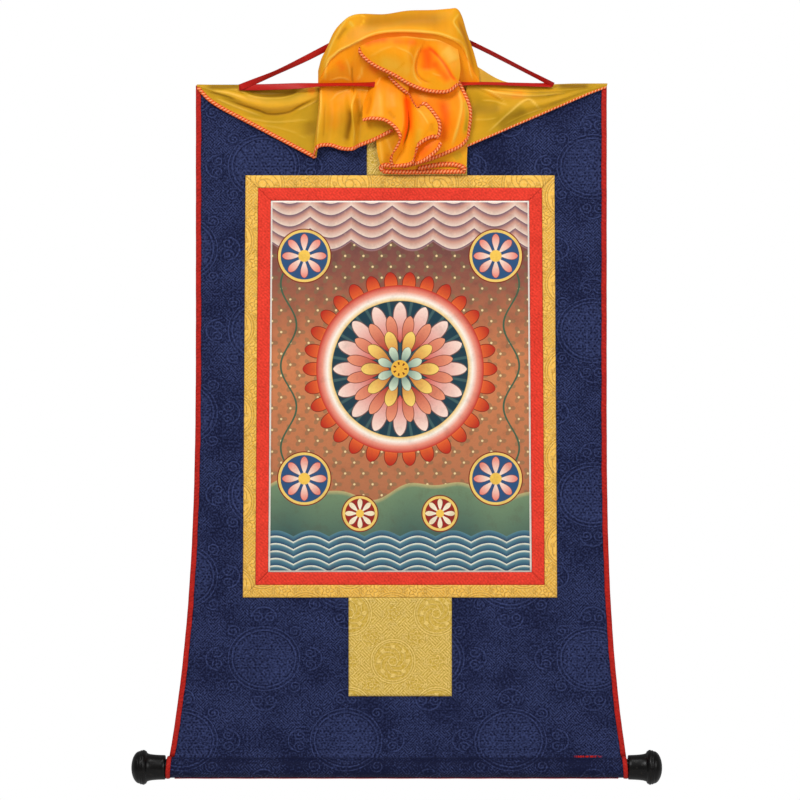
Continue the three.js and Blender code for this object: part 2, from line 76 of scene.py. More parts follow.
# Ribbon routes from the left anchor to the right one: x, drop below the top edge, distance out, twist in degrees.
HANGING_ROUTE = [
    (-184, 4, 5.8, 0), (-165, -3.6, 6.2, 30), (-145, -12.2, 4.4, 50), (-125, -21.6, 2.8, 42), (-105, -31.5, 1.8, 22),
    (-80, -44.6, 0.8, 8), (-45, -63, 0, 0), (-20, -74.5, -0.6, 0), (-8, -78.2, -1, 0), (0, -79, -1, 0),
    (8, -78.2, -1, 0), (20, -74.3, -0.6, 5), (45, -64.5, 0, 25), (80, -48.3, 0.8, 48), (105, -36, 1.8, 52),
    (145, -15, 4.4, 56), (165, -4.6, 6.2, 50), (176, 1.4, 5.8, 38),
]
TIE_ROUTE = [
    (-185, 3.6, 4.4, 0), (-172, 3.6, 4.6, 0), (-158, 3.6, 5.2, 0), (-140, 3.3, 7.6, -5), (-120, 2.8, 10.4, -15),
    (-104, 2.2, 12, -36), (-92, 1.6, 12.7, -50), (-74, 1.2, 12.9, -52), (-55, 1.1, 13, -52), (-36, 1.2, 12.8, -40),
    (-17, 1.4, 12.5, 0), (20, 1.4, 12.3, 0), (58, 0.8, 12.3, -35), (76, 0.2, 12.2, -50), (94, -0.2, 11.4, -54),
    (115, 0, 9.2, -54), (138, 0.4, 6.4, -52), (158, 0.8, 4.6, -48), (174, 1, 4.4, -40),
]

# The veil's lobes. Each row is a fold line, ridge or trough, given as (x, drop, out) at places along it.
LEFT_SWAG = [
    [(-233.5, 0, 2.2), (-205, 0.3, 1.6), (-163, 0.5, 1.1), (-84, 0, 3.5)],
    [(-233.4, 0.6, 2.3), (-203, 4.5, 2.2), (-159, 12, 3), (-84, 4, 4.5)],
    [(-233.3, 1.2, 2.5), (-201, 7, 4.6), (-155, 15.5, 10), (-84, 7, 5)],
    [(-233.2, 1.8, 2.7), (-200, 12, 6), (-150, 26, 12), (-85, 14, 5.2)],
    [(-233, 2.4, 2.7), (-202, 15, 4), (-149, 34, 5.5), (-86, 20, 4.8)],
    [(-232.8, 3, 2.6), (-207, 19, 3), (-156, 40, 4), (-90, 45, 5)],
    [(-232.6, 3.6, 2.5), (-213, 22, 2.8), (-166, 47.5, 3), (-96, 84.5, 5)],
]
RIGHT_SWAG = [
    [(238.4, -1.2, 2.2), (205, -1.2, 2), (128, -1.5, 2), (83, -23, 7)],
    [(238.3, -0.5, 2.3), (206, 1.8, 2.4), (146, 5, 3.6), (78, -4, 8)],
    [(238.2, 0.2, 2.6), (207, 4.2, 4.5), (160, 10, 9), (76, 8, 9.5)],
    [(238, 0.9, 2.8), (208, 6.5, 4.2), (160, 17, 6.5), (75, 22, 7.5)],
    [(237.8, 1.6, 2.8), (210, 8.5, 4.2), (160, 24, 8), (73, 40, 8.5)],
    [(237.6, 2.3, 2.6), (211, 10.5, 3.2), (160, 30, 4.5), (71, 58, 7)],
    [(237.3, 3, 2.5), (213, 12.3, 2.8), (161, 34.8, 3), (68, 75, 6)],
]
SKIRT = [
    [(-92, 1, 7), (-94, 34, 9), (-100, 83, 6)],
    [(-90, 1, 8), (-90, 34, 17), (-94, 72, 12)],
    [(-78, 1, 7), (-76, 34, 9), (-80, 70, 7)],
    [(-66, 1, 7.5), (-64, 35, 12), (-67, 74, 9)],
    [(-55, 1, 8), (-55, 35, 19), (-55, 75, 14)],
    [(-44, 1, 7), (-44, 33, 9), (-46, 70, 7)],
    [(-30, 1, 7.5), (-28, 30, 13), (-30, 64, 10)],
    [(-16, 2, 7.5), (-12, 26, 12), (-8, 53, 12)],
]
# Puff sections: x, height of the crest, height of the lip, how far the lip and the tuck below it stand out.
PUFF = [
    (-94, 15, 4, 10, 10), (-90, 29, 10, 16, 14), (-84, 40, 21, 21, 18), (-77, 56, 30, 25, 21),
    (-69, 66.5, 37, 29, 23), (-57, 75.5, 43.5, 33, 25), (-44, 78, 49, 36, 22), (-18, 77, 56, 39, 18),
    (9, 81, 57, 40, 17), (37, 82, 55.5, 38, 17), (56, 84, 50.5, 34, 18), (65, 84.5, 46.5, 30, 19),
    (71, 76, 41, 25, 18), (77, 57, 30, 20, 16), (84, 38, 16, 15, 13), (91, 13, 5, 10, 10),
]
FLAP = [
    [(-49, -41, 24), (-49, -46.5, 28.5), (-49, -45, 30), (-48.3, -43.5, 29)],
    [(-42, -42, 24.5), (-42, -48.5, 30), (-42.5, -40, 31.5), (-44, -31.5, 29)],
    [(-34, -42, 25), (-34, -49.5, 32), (-33, -35, 33), (-30, -19.5, 29)],
    [(-14, -45, 26), (-14, -51, 34), (-11, -33, 36), (-7, -8, 29.5)],
    [(7, -46, 27), (7, -52, 35), (9, -27, 37), (10, 2, 29)],
    [(23, -45, 26), (23, -50.5, 34), (20, -22, 27), (27, 8.3, 25)],
    [(39, -43, 25), (39, -49, 32.5), (40, -20, 31), (43, 11, 27)],
    [(54, -40, 23), (54, -45, 29), (56, -18, 29), (56, 9.8, 26)],
    [(66, -34, 20), (66, -38, 25), (69, -16, 24), (66.5, 1.5, 22)],
]
TUCK = [
    [(-20, -16, 24), (-17, -12, 23.5), (-13.7, -8, 22)],
    [(-9, -11, 24), (-7, -5, 23.5), (-4.6, 1.2, 22)],
    [(2, -4, 24), (3, 3, 23.5), (4.6, 9.2, 21.5)],
    [(10, 3, 23.5), (10, 7, 22.5), (9.1, 11.5, 20)],
]
TAIL_LEFT = [
    [(-30, -12, 7), (-37, 6, 7.5), (-42, 24, 9.5), (-43, 42.5, 19.5)],
    [(-22, -12, 9), (-27, 5, 16), (-31, 24, 20), (-31.5, 41, 24)],
    [(-12, -12, 9), (-14, 5, 17.5), (-16, 25, 22), (-16, 43.5, 24)],
    [(-5, -12, 9), (-5, 6, 18), (-3, 30, 24), (-3.4, 54, 25)],
    [(0, -12, 9), (1, 7, 18), (5, 38, 24.5), (0, 66, 25)],
    [(4, -12, 9), (5, 8, 17.5), (9, 50, 21), (-10, 85, 20)],
    [(8, -12, 9), (8.5, 9, 16), (10, 54, 15), (-8, 96, 14)],
]
TAIL_FRONT = [
    [(5.8, 8, 17), (8, 25, 16), (9.2, 59, 15.5), (-8, 95, 13)],
    [(6.9, 9, 18), (13.8, 25, 21), (17.3, 59, 24), (12.7, 92, 18)],
    [(8, 10, 18.5), (16, 26, 23), (25.3, 54, 28), (17.3, 82, 23)],
    [(9, 10.3, 19), (18.4, 28, 24), (32.2, 48, 29), (20.7, 72, 26)],
    [(9.2, 11.5, 19), (20.7, 28.8, 24.5), (39, 42.5, 29), (28.8, 65.5, 27)],
    [(9.4, 11.3, 19), (19, 28, 24), (26, 27, 25.5), (40, 42, 28.5), (42, 52, 28.5), (38, 62, 27)],
    [(9.6, 11.5, 19), (19.5, 28.5, 23.5), (28.5, 24.5, 25.5), (42.5, 41, 28.5), (45.5, 52, 28), (43.7, 63, 26)],
]
TAIL_CURL = [
    [(10.4, 88, 15), (13.8, 92, 17), (16, 93, 17)],
    [(15, 76, 17), (23, 85.5, 20), (26.5, 89, 21)],
    [(20.7, 67, 19), (31, 77.5, 22.5), (36.8, 82, 23.5)],
    [(28.8, 61, 20), (38, 70.5, 23.5), (43.7, 75, 24.5)],
    [(39, 59, 21), (43.7, 64, 24), (46.6, 68.5, 24)],
]
TAIL_RIGHT = [
    [(4, -20, 9), (6, 6, 14.5), (16, 46, 15.5), (2.5, 95.5, 10)],
    [(29, -20, 9), (31, 6, 16), (43.5, 43, 19), (32, 87.5, 12)],
    [(43, -20, 9), (45, 6, 16), (58.5, 40, 21), (54, 79, 13)],
    [(56, -20, 9), (59, 6, 15.8), (70, 36, 20), (70, 71, 13)],
    [(58, -16, 9), (70, 4, 15.2), (80.5, 31, 16), (78, 62, 11)],
]
TAIL_BASE = [
    [(-14, 3, 8), (-20, 15, 8), (-27, 66, 7), (-21, 100, 6)],
    [(11, 3, 8), (11, 15, 8.5), (9, 63, 8), (7, 101, 7)],
    [(34, 3, 8), (34.5, 15, 8), (35.5, 63, 7), (34.5, 100.5, 6)],
    [(54, 3, 8), (55.5, 15, 8.5), (60, 63, 8), (60, 100.5, 7)],
    [(68, 3, 7.5), (70, 15, 8), (77, 60, 6.5), (76, 100, 6)],
]
# Rows of overlock where the hem turns back on itself at the foot of the tail, as (x, drop, out).
TURNED_HEMS = [
    [(-8, 95, 14), (-17, 93.5, 11), (-21.5, 96, 8), (-20, 100, 7)],
    [(20, 97.5, 10), (34, 94.5, 9.5), (48, 92.5, 9), (61, 92.5, 9), (71, 95, 8), (75.5, 99.5, 7)],
]

# Folds and painted shading strokes of each lobe: half width and height in mm, change of painted depth of colour and
# of painted light, and the places it passes, as (x, drop) seen from the front.
LEFT_SWAG_STROKES = [
    (3, -0.3, -0.12, -0.4, [(-222, 2.5), (-204, 3), (-184, 2.5)]),
    (1.8, 0.6, 0.05, 0.35, [(-216, 7), (-198, 9.5), (-178, 15.5)]),
    (1.3, -0.5, 0, -0.5, [(-220, 8.5), (-204, 12.5), (-190, 17)]),
    (5, 0, 0.3, 0.05, [(-106, 5), (-97, 7)]),
    (1, 0.3, 0, 0.3, [(-178, 38), (-145, 43), (-104, 40)]),
    (1, 0.3, 0, 0.2, [(-160, 46), (-130, 52), (-106, 62)]),
    (4, -1, -0.15, -0.55, [(-182, 6.5), (-155, 10.5), (-132, 10.5), (-115, 6)]),
    (1.3, 0.8, 0.02, 0.35, [(-205, 6), (-187, 5.8), (-172, 12.5), (-155, 15.5), (-132, 14.5), (-115, 8), (-101, 3)]),
    (7, 1, 0.1, 0.1, [(-201, 12), (-172, 21), (-150, 26), (-129, 25), (-110, 17), (-95, 8)]),
    (1.4, -0.8, 0, -0.7, [(-205, 15), (-184, 23), (-163, 29.5), (-150, 34), (-129, 32), (-115, 24.5), (-94, 14)]),
    (1.2, 0.6, 0, 0.3, [(-212, 16), (-190, 25), (-160, 36)]),
    (1, 0.4, 0, 0.4, [(-118, 29.5), (-105, 23), (-94, 17)]),
    (9, -0.6, -0.03, -0.35, [(-106, 42), (-102, 58)]),
    (5, 0, 0.06, 0.05, [(-190, 33), (-150, 52)]),
]
RIGHT_SWAG_STROKES = [
    (3, -0.3, -0.15, -0.5, [(180, 1.5), (200, 2), (218, 1.5)]),
    (1, -0.6, 0, -0.4, [(90, 4), (120, 7), (155, 9), (196, 7)]),
    (0.9, 0.5, 0, 0.45, [(88, 2), (112, 9), (150, 12.5), (190, 9.5)]),
    (1, -0.5, 0, -0.35, [(90, 5), (105, 12), (120, 20)]),
    (0.9, 0.4, 0, 0.4, [(98, 4), (112, 12), (122, 22)]),
    (6, 0.8, 0.16, 0.22, [(96, 8), (125, 12), (152, 13)]),
    (4, 0, 0.18, 0, [(128, 12), (142, 11)]),
    (1.2, 0.8, 0, 0.6, [(102, 54), (126, 32), (147, 17), (161, 28)]),
    (1, 0.5, 0, 0.45, [(94, 18), (108, 19), (124, 24)]),
    (9, -0.4, -0.15, -0.2, [(112, 52), (130, 40), (146, 28)]),
    (9, -0.8, -0.06, -0.35, [(82, 26), (100, 28), (116, 26)]),
    (1, 0.3, 0, 0.3, [(84, 40), (100, 40), (112, 38)]),
    (0.8, 0.3, 0, 0.3, [(118, 47), (140, 36), (165, 27)]),
    (8, 0, 0, -0.12, [(92, -12), (108, -5)]),
]
SKIRT_STROKES = [
    (1.3, 0.8, -0.05, 0.45, [(-91, 4), (-91, 23), (-93, 40), (-95.5, 66)]),
    (1, -0.4, 0, -0.25, [(-86, 20), (-87, 45), (-88, 62)]),
    (5, 0.4, 0.06, 0.05, [(-76, 12), (-75, 35), (-74, 55)]),
    (3.5, -1.5, 0, -0.65, [(-59, 27), (-58, 40), (-61, 55), (-63, 66)]),
    (1.3, 0.8, -0.08, 0.45, [(-50, 8), (-55, 23), (-55, 35), (-53, 52), (-53, 68)]),
    (4, -1, 0, -0.4, [(-49, 15), (-46, 28), (-44, 40)]),
    (1, -0.8, 0, -0.4, [(-54, 2), (-53, 9)]),
    (1, 0.5, 0, 0.4, [(-50, 5), (-38, 7), (-27, 10)]),
    (1, 0.5, 0, 0.3, [(-58, 5), (-70, 10), (-80, 18)]),
    (8, 0, 0.12, 0.05, [(-28, 15), (-26, 40)]),
    (16, 0, 0, -0.32, [(-84, 46), (-40, 42)]),
]
PUFF_STROKES = [
    (9, 0, 0.02, -0.46, [(-48, -72), (-20, -75), (20, -77), (58, -76)]),
    (9, 0, 0, -0.14, [(-50, -64), (0, -68), (58, -66)]),
    (3, 0, 0, 0.2, [(-30, -63), (5, -65), (40, -63)]),
    (1.4, 0.8, -0.05, 0.55, [
        (-86, -6), (-86, -13), (-85, -20), (-82, -29), (-76, -34), (-69, -40), (-55, -46.5), (-45, -52), (-35, -57),
        (-22, -60.5), (2, -62), (30, -60.5), (47, -58.3), (60, -53.7), (68.5, -50), (72.5, -46.5),
    ]),
    (0.9, 0.4, 0, 0.4, [(72.5, -46.5), (76, -39), (77.3, -32.5), (79.4, -22.7), (81.2, -12.6), (83.3, -6.2)]),
    (1, 0.5, -0.05, 0.5, [(68.7, -82), (63.3, -75.5), (62, -71), (66.7, -63.6), (72.5, -54.4)]),
    (2.2, -0.6, 0.06, -0.5, [(66.7, -75.5), (78.6, -46), (86.6, -12.7)]),
    (1, 0.5, -0.05, 0.45, [(-46, -80), (-42.5, -79), (-40.5, -77), (-42.5, -71.5), (-46, -67)]),
    (1.1, 0.5, -0.08, 0.45, [(-47, -80.8), (-59, -77), (-65.5, -70), (-71.5, -60), (-77, -50), (-82, -38), (-88, -22)]),
    (2.4, -0.6, 0, -0.45, [(-61.6, -67), (-68, -59), (-73, -51)]),
    (2, 0.3, -0.08, 0.3, [(-59, -73), (-53, -67)]),
    (6, 0, 0, -0.12, [(-62, -55), (-50, -60)]),
    (1, -0.8, 0, -0.5, [(-55, -21), (-55, -10), (-54, -1)]),
    (1.3, 0.6, 0, 0.4, [(-43, -22), (-45, -12), (-49, -5)]),
    (1, 0.5, 0, 0.35, [(-80, -5), (-68, -8), (-57, -5)]),
    (1.2, 0.4, 0, 0.25, [(-62, -30), (-58, -18), (-57, -10)]),
    (5, 0, 0.14, 0, [(-72, -28), (-64, -16)]),
    (5, 0, 0.2, 0, [(-35, -24), (-25, -14)]),
    (4, 0, 0.2, 0.05, [(-46, -46), (-36, -53), (-20, -57), (10, -58.5), (40, -56)]),
]
FLAP_STROKES = [
    (1.1, 0.5, -0.05, 0.5, [(-9, -56), (0, -56), (24, -53.7), (30.5, -52), (45, -51), (60, -46)]),
    (5, 0, 0.3, 0, [(-42, -46), (-30, -52), (-12, -53)]),
    (4, 0, 0.2, 0, [(-10, -50), (22, -48)]),
    (8, 0, -0.06, 0.16, [(-25, -28), (0, -20), (12, -12)]),
    (1, 0.5, 0, 0.3, [(-4, -43), (11.5, -36), (16, -26)]),
    (0.8, -0.3, 0, -0.25, [(-6, -15), (6, -26)]),
    (1, 0.4, 0, 0.2, [(-35, -32), (-20, -40), (-8, -44)]),
    (1.2, 0.6, -0.05, 0.35, [(25, -46), (18.5, -34), (15.5, -20), (18, -8), (25, 0)]),
    (1.2, -0.8, 0.1, -0.35, [(28, -49), (22, -36), (19, -22), (20.5, -12), (27, -5), (35, -2)]),
    (8, -1, 0.42, 0, [(29, -44), (31, -30), (31, -15)]),
    (5, 0, 0.32, 0, [(38, -28), (48, -14), (58, -4)]),
    (1.8, -0.8, 0.4, 0, [(32, -44), (43, -34), (52, -23), (60, -10), (66, -3)]),
    (8, 0.5, -0.08, 0.4, [(50, -42), (58, -34), (62, -26)]),
    (1, 0.3, 0, 0.3, [(37, -13), (47, -10)]),
]
TUCK_STROKES = [(3, 0, 0, 0.15, [(-2, -2), (5, 4)])]
TAIL_LEFT_STROKES = [
    (3, 0.8, 0, 0.3, [(-23, 8), (-22, 28), (-22, 38)]),
    (2.5, -0.6, 0.05, -0.2, [(-34, 12), (-36, 25), (-40, 36)]),
    (1, 0.4, 0, 0.35, [(-28, 1), (-24, -5), (-22, -12)]),
    (4, 0.5, 0.05, 0.12, [(-8, 8), (-5, 28)]),
    (3, -0.5, 0, -0.25, [(-14, 30), (-6, 40)]),
    (4, -1.5, 0.38, 0, [(7, 8), (9, 30), (9, 55), (6, 72)]),
]
TAIL_FRONT_STROKES = [
    (4, -1.2, 0.36, 0, [(8, 12), (9.5, 35), (9, 56)]),
    (1.2, 0.5, 0, 0.4, [(21, 29), (27, 36), (33, 46)]),
    (4, 0.4, -0.06, 0.05, [(22, 50), (20, 70)]),
    (3, -0.4, 0, -0.2, [(36, 44), (38, 55)]),
]
TAIL_CURL_STROKES = [(5, 0, 0.1, 0, [(22, 82), (36, 68)])]
TAIL_RIGHT_STROKES = [
    (6, -1, 0.25, -0.15, [(49, 16), (52, 45), (48, 68)]),
    (1.8, 0.8, -0.15, 0.4, [(67, 6), (71, 23), (67, 46), (60, 69)]),
    (3.5, 0, -0.3, -0.05, [(75, 14), (77, 35), (75, 58)]),
    (4, 0.4, 0, 0.2, [(24, 10), (30, 20)]),
]
TAIL_BASE_STROKES = [
    (1.5, 0.6, 0, 0.4, [(-23, 64), (-20, 90)]),
    (1.2, 0.5, 0, 0.35, [(-15, 62), (-8, 82)]),
    (3, -0.5, 0.05, -0.2, [(-14, 78), (-13, 92)]),
    (5, 0, -0.12, -0.1, [(62, 86), (72, 80)]),
]


def linear(red, green, blue):
    """A colour given as 0 to 255 on screen, in the linear values that shaders use."""
    return tuple((c / 255) ** 2.2 for c in (red, green, blue))


def colour_property(name, description, red, green, blue):
    return FloatVectorProperty(
        name=name, description=description, subtype="COLOR", size=3, min=0, max=1, default=linear(red, green, blue)
    )


class ScrollSizes(bpy.types.PropertyGroup):
    """Sizes that change how the cloth lies, in metres."""

    ribbon_width: FloatProperty(
        name="Ribbon width", description="Width of both red ribbons", default=7.3 * MM, unit="LENGTH"
    )
    ribbon_thickness: FloatProperty(
        name="Ribbon thickness", description="Thickness of both red ribbons", default=0.8 * MM, unit="LENGTH"
    )
    hem_width: FloatProperty(
        name="Hem width", description="Width of the veil's overlocked hem", default=4.3 * MM, unit="LENGTH"
    )
    hem_thickness: FloatProperty(
        name="Hem thickness", description="Thickness of the veil's overlocked hem", default=1.5 * MM, unit="LENGTH"
    )
    stitch_pitch: FloatProperty(
        name="Stitch pitch", description="Distance between overlock stitches", default=3.9 * MM, unit="LENGTH"
    )
    ripple: FloatProperty(
        name="Panel ripple", description="How far the hung brocade swells out of flat", default=0.5 * MM, unit="LENGTH"
    )
    knob_sides: IntProperty(name="Knob sides", description="Facets around each turned knob", default=72, min=12)


class ScrollColours(bpy.types.PropertyGroup):
    """Colours of the cloths, threads and lacquer."""

    navy: colour_property("Navy", "Ground of the navy brocade", 16, 22, 52)
    navy_figure: colour_property("Navy figure", "Raised figure of the navy brocade", 66, 77, 124)
    gold: colour_property("Gold", "Gold strips around the picture", 244, 184, 74)
    patch_gold: colour_property("Patch gold", "Gold patches above and below the picture", 193, 156, 52)
    gold_thread: colour_property("Gold thread", "Bright metal thread in the gold brocade", 255, 220, 130)
    red: colour_property("Red", "Red strips around the picture", 240, 58, 40)
    binding: colour_property("Binding", "Red binding of the side edges", 176, 26, 12)
    ribbon: colour_property("Ribbon", "Red satin ribbons", 172, 22, 10)
    # Veil colours with painted light: the silk's own saffron, deep orange inside its folds, olive where the navy shows
    # through one layer, a painted crease highlight and painted shade in its hollows.
    veil: colour_property("Veil", "Saffron silk, several layers deep", 243, 148, 18)
    veil_deep: colour_property("Veil shade", "Saffron silk inside its folds", 250, 86, 2)
    veil_thin: colour_property("Veil single layer", "Saffron silk lying on the navy brocade", 188, 144, 30)
    veil_pale: colour_property("Veil crease", "Saffron silk where a crease catches the light", 255, 206, 96)
    veil_dark: colour_property("Veil hollow", "Saffron silk in its shaded hollows", 112, 68, 4)
    hem: colour_property("Hem", "Orange overlock thread", 244, 100, 38)
    hem_tick: colour_property("Hem tick", "Pale crossing thread of the overlock", 255, 186, 134)
    lacquer: colour_property("Lacquer", "Black lacquer of the knobs", 8, 7, 7)
    ground: colour_property("Painting ground", "Terracotta ground of the painting", 205, 126, 82)
    dusk: colour_property("Painting dusk", "Dark upper part of the painting", 66, 50, 64)


class Shade:
    """A value in a material, so that shader maths reads as Python sums."""

    def __init__(self, tree, socket=None):
        self.tree = tree
        self.socket = socket

    def node(self, kind, settings=None, sockets=None, output=0):
        """Adds a node of that kind: its settings first, then the values or links of its sockets."""
        made = self.tree.nodes.new(kind)
        for name, value in (settings or {}).items():
            if name == "stops":
                elements = made.color_ramp.elements
                elements[0].position, elements[-1].position = value[0][0], value[-1][0]
                for place, _ in value[1:-1]:
                    elements.new(place)
                for element, (_, colour) in zip(elements, value):
                    element.color = (*colour, 1)
            else:
                setattr(made, name, value)
        for name, value in (sockets or {}).items():
            if isinstance(value, Shade):
                self.tree.links.new(value.socket, made.inputs[name])
            else:
                made.inputs[name].default_value = value
        return Shade(self.tree, made.outputs[output] if made.outputs else None)

    def math(self, operation, *values):
        return self.node("ShaderNodeMath", {"operation": operation}, dict(enumerate(values)))

    def __add__(self, other):
        return self.math("ADD", self, other)

    __radd__ = __add__

    def __sub__(self, other):
        return self.math("SUBTRACT", self, other)

    def __rsub__(self, other):
        return self.math("SUBTRACT", other, self)

    def __mul__(self, other):
        return self.math("MULTIPLY", self, other)

    __rmul__ = __mul__

    def __truediv__(self, other):
        return self.math("DIVIDE", self, other)

    def __abs__(self):
        return self.math("ABSOLUTE", self)

    def sine(self):
        return self.math("SINE", self)

    def cosine(self):
        return self.math("COSINE", self)

    def floor(self):
        return self.math("FLOOR", self)

    def fract(self):
        return self.math("FRACT", self)

    def least(self, other):
        return self.math("MINIMUM", self, other)

    def most(self, other):
        return self.math("MAXIMUM", self, other)

    def below(self, other):
        return self.math("LESS_THAN", self, other)

    def above(self, other):
        return self.math("GREATER_THAN", self, other)

    def root(self):
        return self.math("SQRT", self)

    def __pow__(self, power):
        return self.math("POWER", self, power)

    def heading(self, across):
        """The angle of a point that lies this far up and that far across."""
        return self.math("ARCTAN2", self, across)

    def rise(self, low, high):
        """0 below low, 1 above high and smooth between them."""
        return self.node("ShaderNodeMapRange", {"interpolation_type": "SMOOTHSTEP"}, {0: self, 1: low, 2: high})

    def line(self, place, half, soft):
        """1 within half of a place, fading out over soft."""
        return 1 - abs(self - place).rise(half, half + soft)

    def mix(self, low, high):
        """The colour low where this mask is 0 and high where it is 1."""
        low, high = (c if isinstance(c, Shade) else (*c, 1) for c in (low, high))
        return self.node("ShaderNodeMix", {"data_type": "RGBA"}, {0: self, 6: low, 7: high}, output=2)

    def ramp(self, stops):
        return self.node("ShaderNodeValToRGB", {"stops": stops}, {0: self})

    def noise(self, vector, scale, detail=3.0):
        sockets = {"Vector": vector, "Scale": scale, "Detail": detail}
        return self.node("ShaderNodeTexNoise", None, sockets)


def polar(x, y):
    """Radius and angle of a point."""
    return (x * x + y * y).root(), y.heading(x)


def fold_angle(angle, count, turn=0.0):
    """The angle within the nearest of count equal sectors, from -half to +half a sector."""
    step = 2 * math.pi / count
    return ((angle / step + (0.5 + turn)).fract() - 0.5) * step


def staggered(u, v, width, height):
    """Coordinates within the nearest motif of a staggered repeat, and the distance from its middle."""
    rows = []
    for shift in (0.0, 0.5):
        x = ((u / width + (0.5 + shift)).fract() - 0.5) * width
        y = ((v / height + (0.5 + shift)).fract() - 0.5) * height
        rows.append((x, y, (x * x + y * y).root()))
    (x0, y0, r0), (x1, y1, r1) = rows
    nearer = r0.below(r1)
    return x1 + (x0 - x1) * nearer, y1 + (y0 - y1) * nearer, r0.least(r1)


def key_fret(u, v, pitch):
    """Woven key fret: blocks of diagonal bars that turn a right angle from block to block."""
    s, t = (u + v) / pitch, (u - v) / pitch
    block = ((s / 4).floor() + (t / 4).floor()) / 2
    turned = block.fract().above(0.25)
    bars = t.fract() + (s.fract() - t.fract()) * turned
    return bars.line(0.5, 0.2, 0.12)


class Finish:
    """A new material with its shader, its coordinates in millimetres, and its name in the record."""

    def __init__(self, name, slot, on_uv=True):
        self.material = bpy.data.materials.new(name)
        self.material.use_nodes = True
        self.slot = slot
        self.tree = self.material.node_tree
        self.shader = self.tree.nodes["Principled BSDF"]
        self.start = Shade(self.tree)
        kind = "UV" if on_uv else "Object"
        self.place = self.start.node("ShaderNodeTexCoord")
        self.place.socket = self.place.socket.node.outputs[kind]
        parts = self.start.node("ShaderNodeSeparateXYZ", None, {0: self.place}).socket.node
        self.axes = [Shade(self.tree, output) * 1000 for output in parts.outputs]

    def set(self, **sockets):
        """Sets or links the shader's sockets; an underscore in a name stands for a space."""
        for name, value in sockets.items():
            socket = self.shader.inputs[name.replace("_", " ")]
            if isinstance(value, Shade):
                self.tree.links.new(value.socket, socket)
            else:
                socket.default_value = value

    def bump(self, height, strength, distance_mm):
        sockets = {"Height": height, "Strength": strength, "Distance": distance_mm * MM}
        self.set(Normal=self.start.node("ShaderNodeBump", None, sockets))


def weave(u, v, pitch):
    """Plain weave of crossing threads, 0 to 1."""
    return (u * (math.pi / pitch)).sine() * (v * (math.pi / pitch)).sine() * 0.5 + 0.5


def navy_brocade(colours):
    """Tone-on-tone damask: flower medallions ringed by cloud heads on a fine key fret, with painted shade on the part
    wound round the rod and a painted highlight band along the roll's front.
    """
    finish = Finish("navy_brocade", "navy_brocade")
    u, v, _ = finish.axes
    wear = finish.start.noise(finish.place, 22.0)
    x, y, r = staggered(u + 156.4, (v - 739.0) * 1.12, 189.0, 211.2)
    angle = y.heading(x)
    rings = r.line(36.5, 0.7, 0.7).most(r.line(41, 0.5, 0.6))
    fx, fy, fr = staggered(x, y, 13.6, 23.6)
    petals = (fy.heading(fx) * 6).cosine().rise(-0.1, 0.5) * (1 - abs(fr - 4.2).rise(0.9, 1.6))
    flower = 1 - petals.most(1 - fr.rise(0.9, 1.5))
    inside = 1 - r.rise(33, 34.5)
    sector = fold_angle(angle, 4)
    cx, cy = r * sector.cosine() - 54, abs(r * sector.sine())
    curl, turn = polar(cx + 1, cy - 7.5)
    volute = (curl / 4.4 - turn / (2 * math.pi)).fract().line(0.5, 0.14, 0.1) * (1 - curl.rise(6.5, 7.5))
    head, _ = polar(cx + 2, cy)
    crown = head.line(14.5, 0.7, 0.6) * cx.rise(-3, 0)
    bead = (abs(cx + 9) + cy).line(2.4, 0.5, 0.5)
    wisp_sector = fold_angle(angle, 4, 0.5)
    wisp, wisp_turn = polar(r * wisp_sector.cosine() - 50, r * wisp_sector.sine())
    wisps = (wisp / 4.2 - wisp_turn / (2 * math.pi)).fract().line(0.5, 0.14, 0.1) * (1 - wisp.rise(7.5, 8.5))
    motifs = volute.most(crown).most(bead).most(wisps) * r.rise(42, 43)
    field = r.rise(42, 43) * (1 - (1 - head.rise(16, 17)).most(1 - wisp.rise(9, 10)))
    fret = key_fret(u, v, 3.5) * field * wear.rise(0.3, 0.6) * 0.85
    figure = rings.most(flower * inside * 0.7).most(motifs).most(fret)
    cloth = finish.start.noise(finish.place, 430.0, 2.0)
    # Painted shade on the part wound round the rod, lifted by a painted highlight band along the roll's front.
    painted_roll_shade = v.rise(850, 855) * (1 - v.line(868, 3, 5) * 0.7 * wear)
    shade = figure * 0.36 + (wear - 0.5) * 0.35 + (cloth - 0.5) * 1.8 + 0.13 - painted_roll_shade * 0.25
    stitches = v.line(851.5, 0.5, 0.5) * u.rise(198, 205) * (1 - u.rise(226, 234)) * cloth.rise(0.42, 0.5)
    colour = stitches.mix(shade.mix(colours.navy, colours.navy_figure), colours.binding)
    finish.set(Base_Color=colour, Roughness=0.66 - figure * 0.14)
    finish.set(Sheen_Weight=0.03, Specular_IOR_Level=0.12)
    finish.bump(figure * 0.8 + weave(u, v, 0.9) * 0.3 + cloth * 1.2, 0.8, 0.9)
    return finish


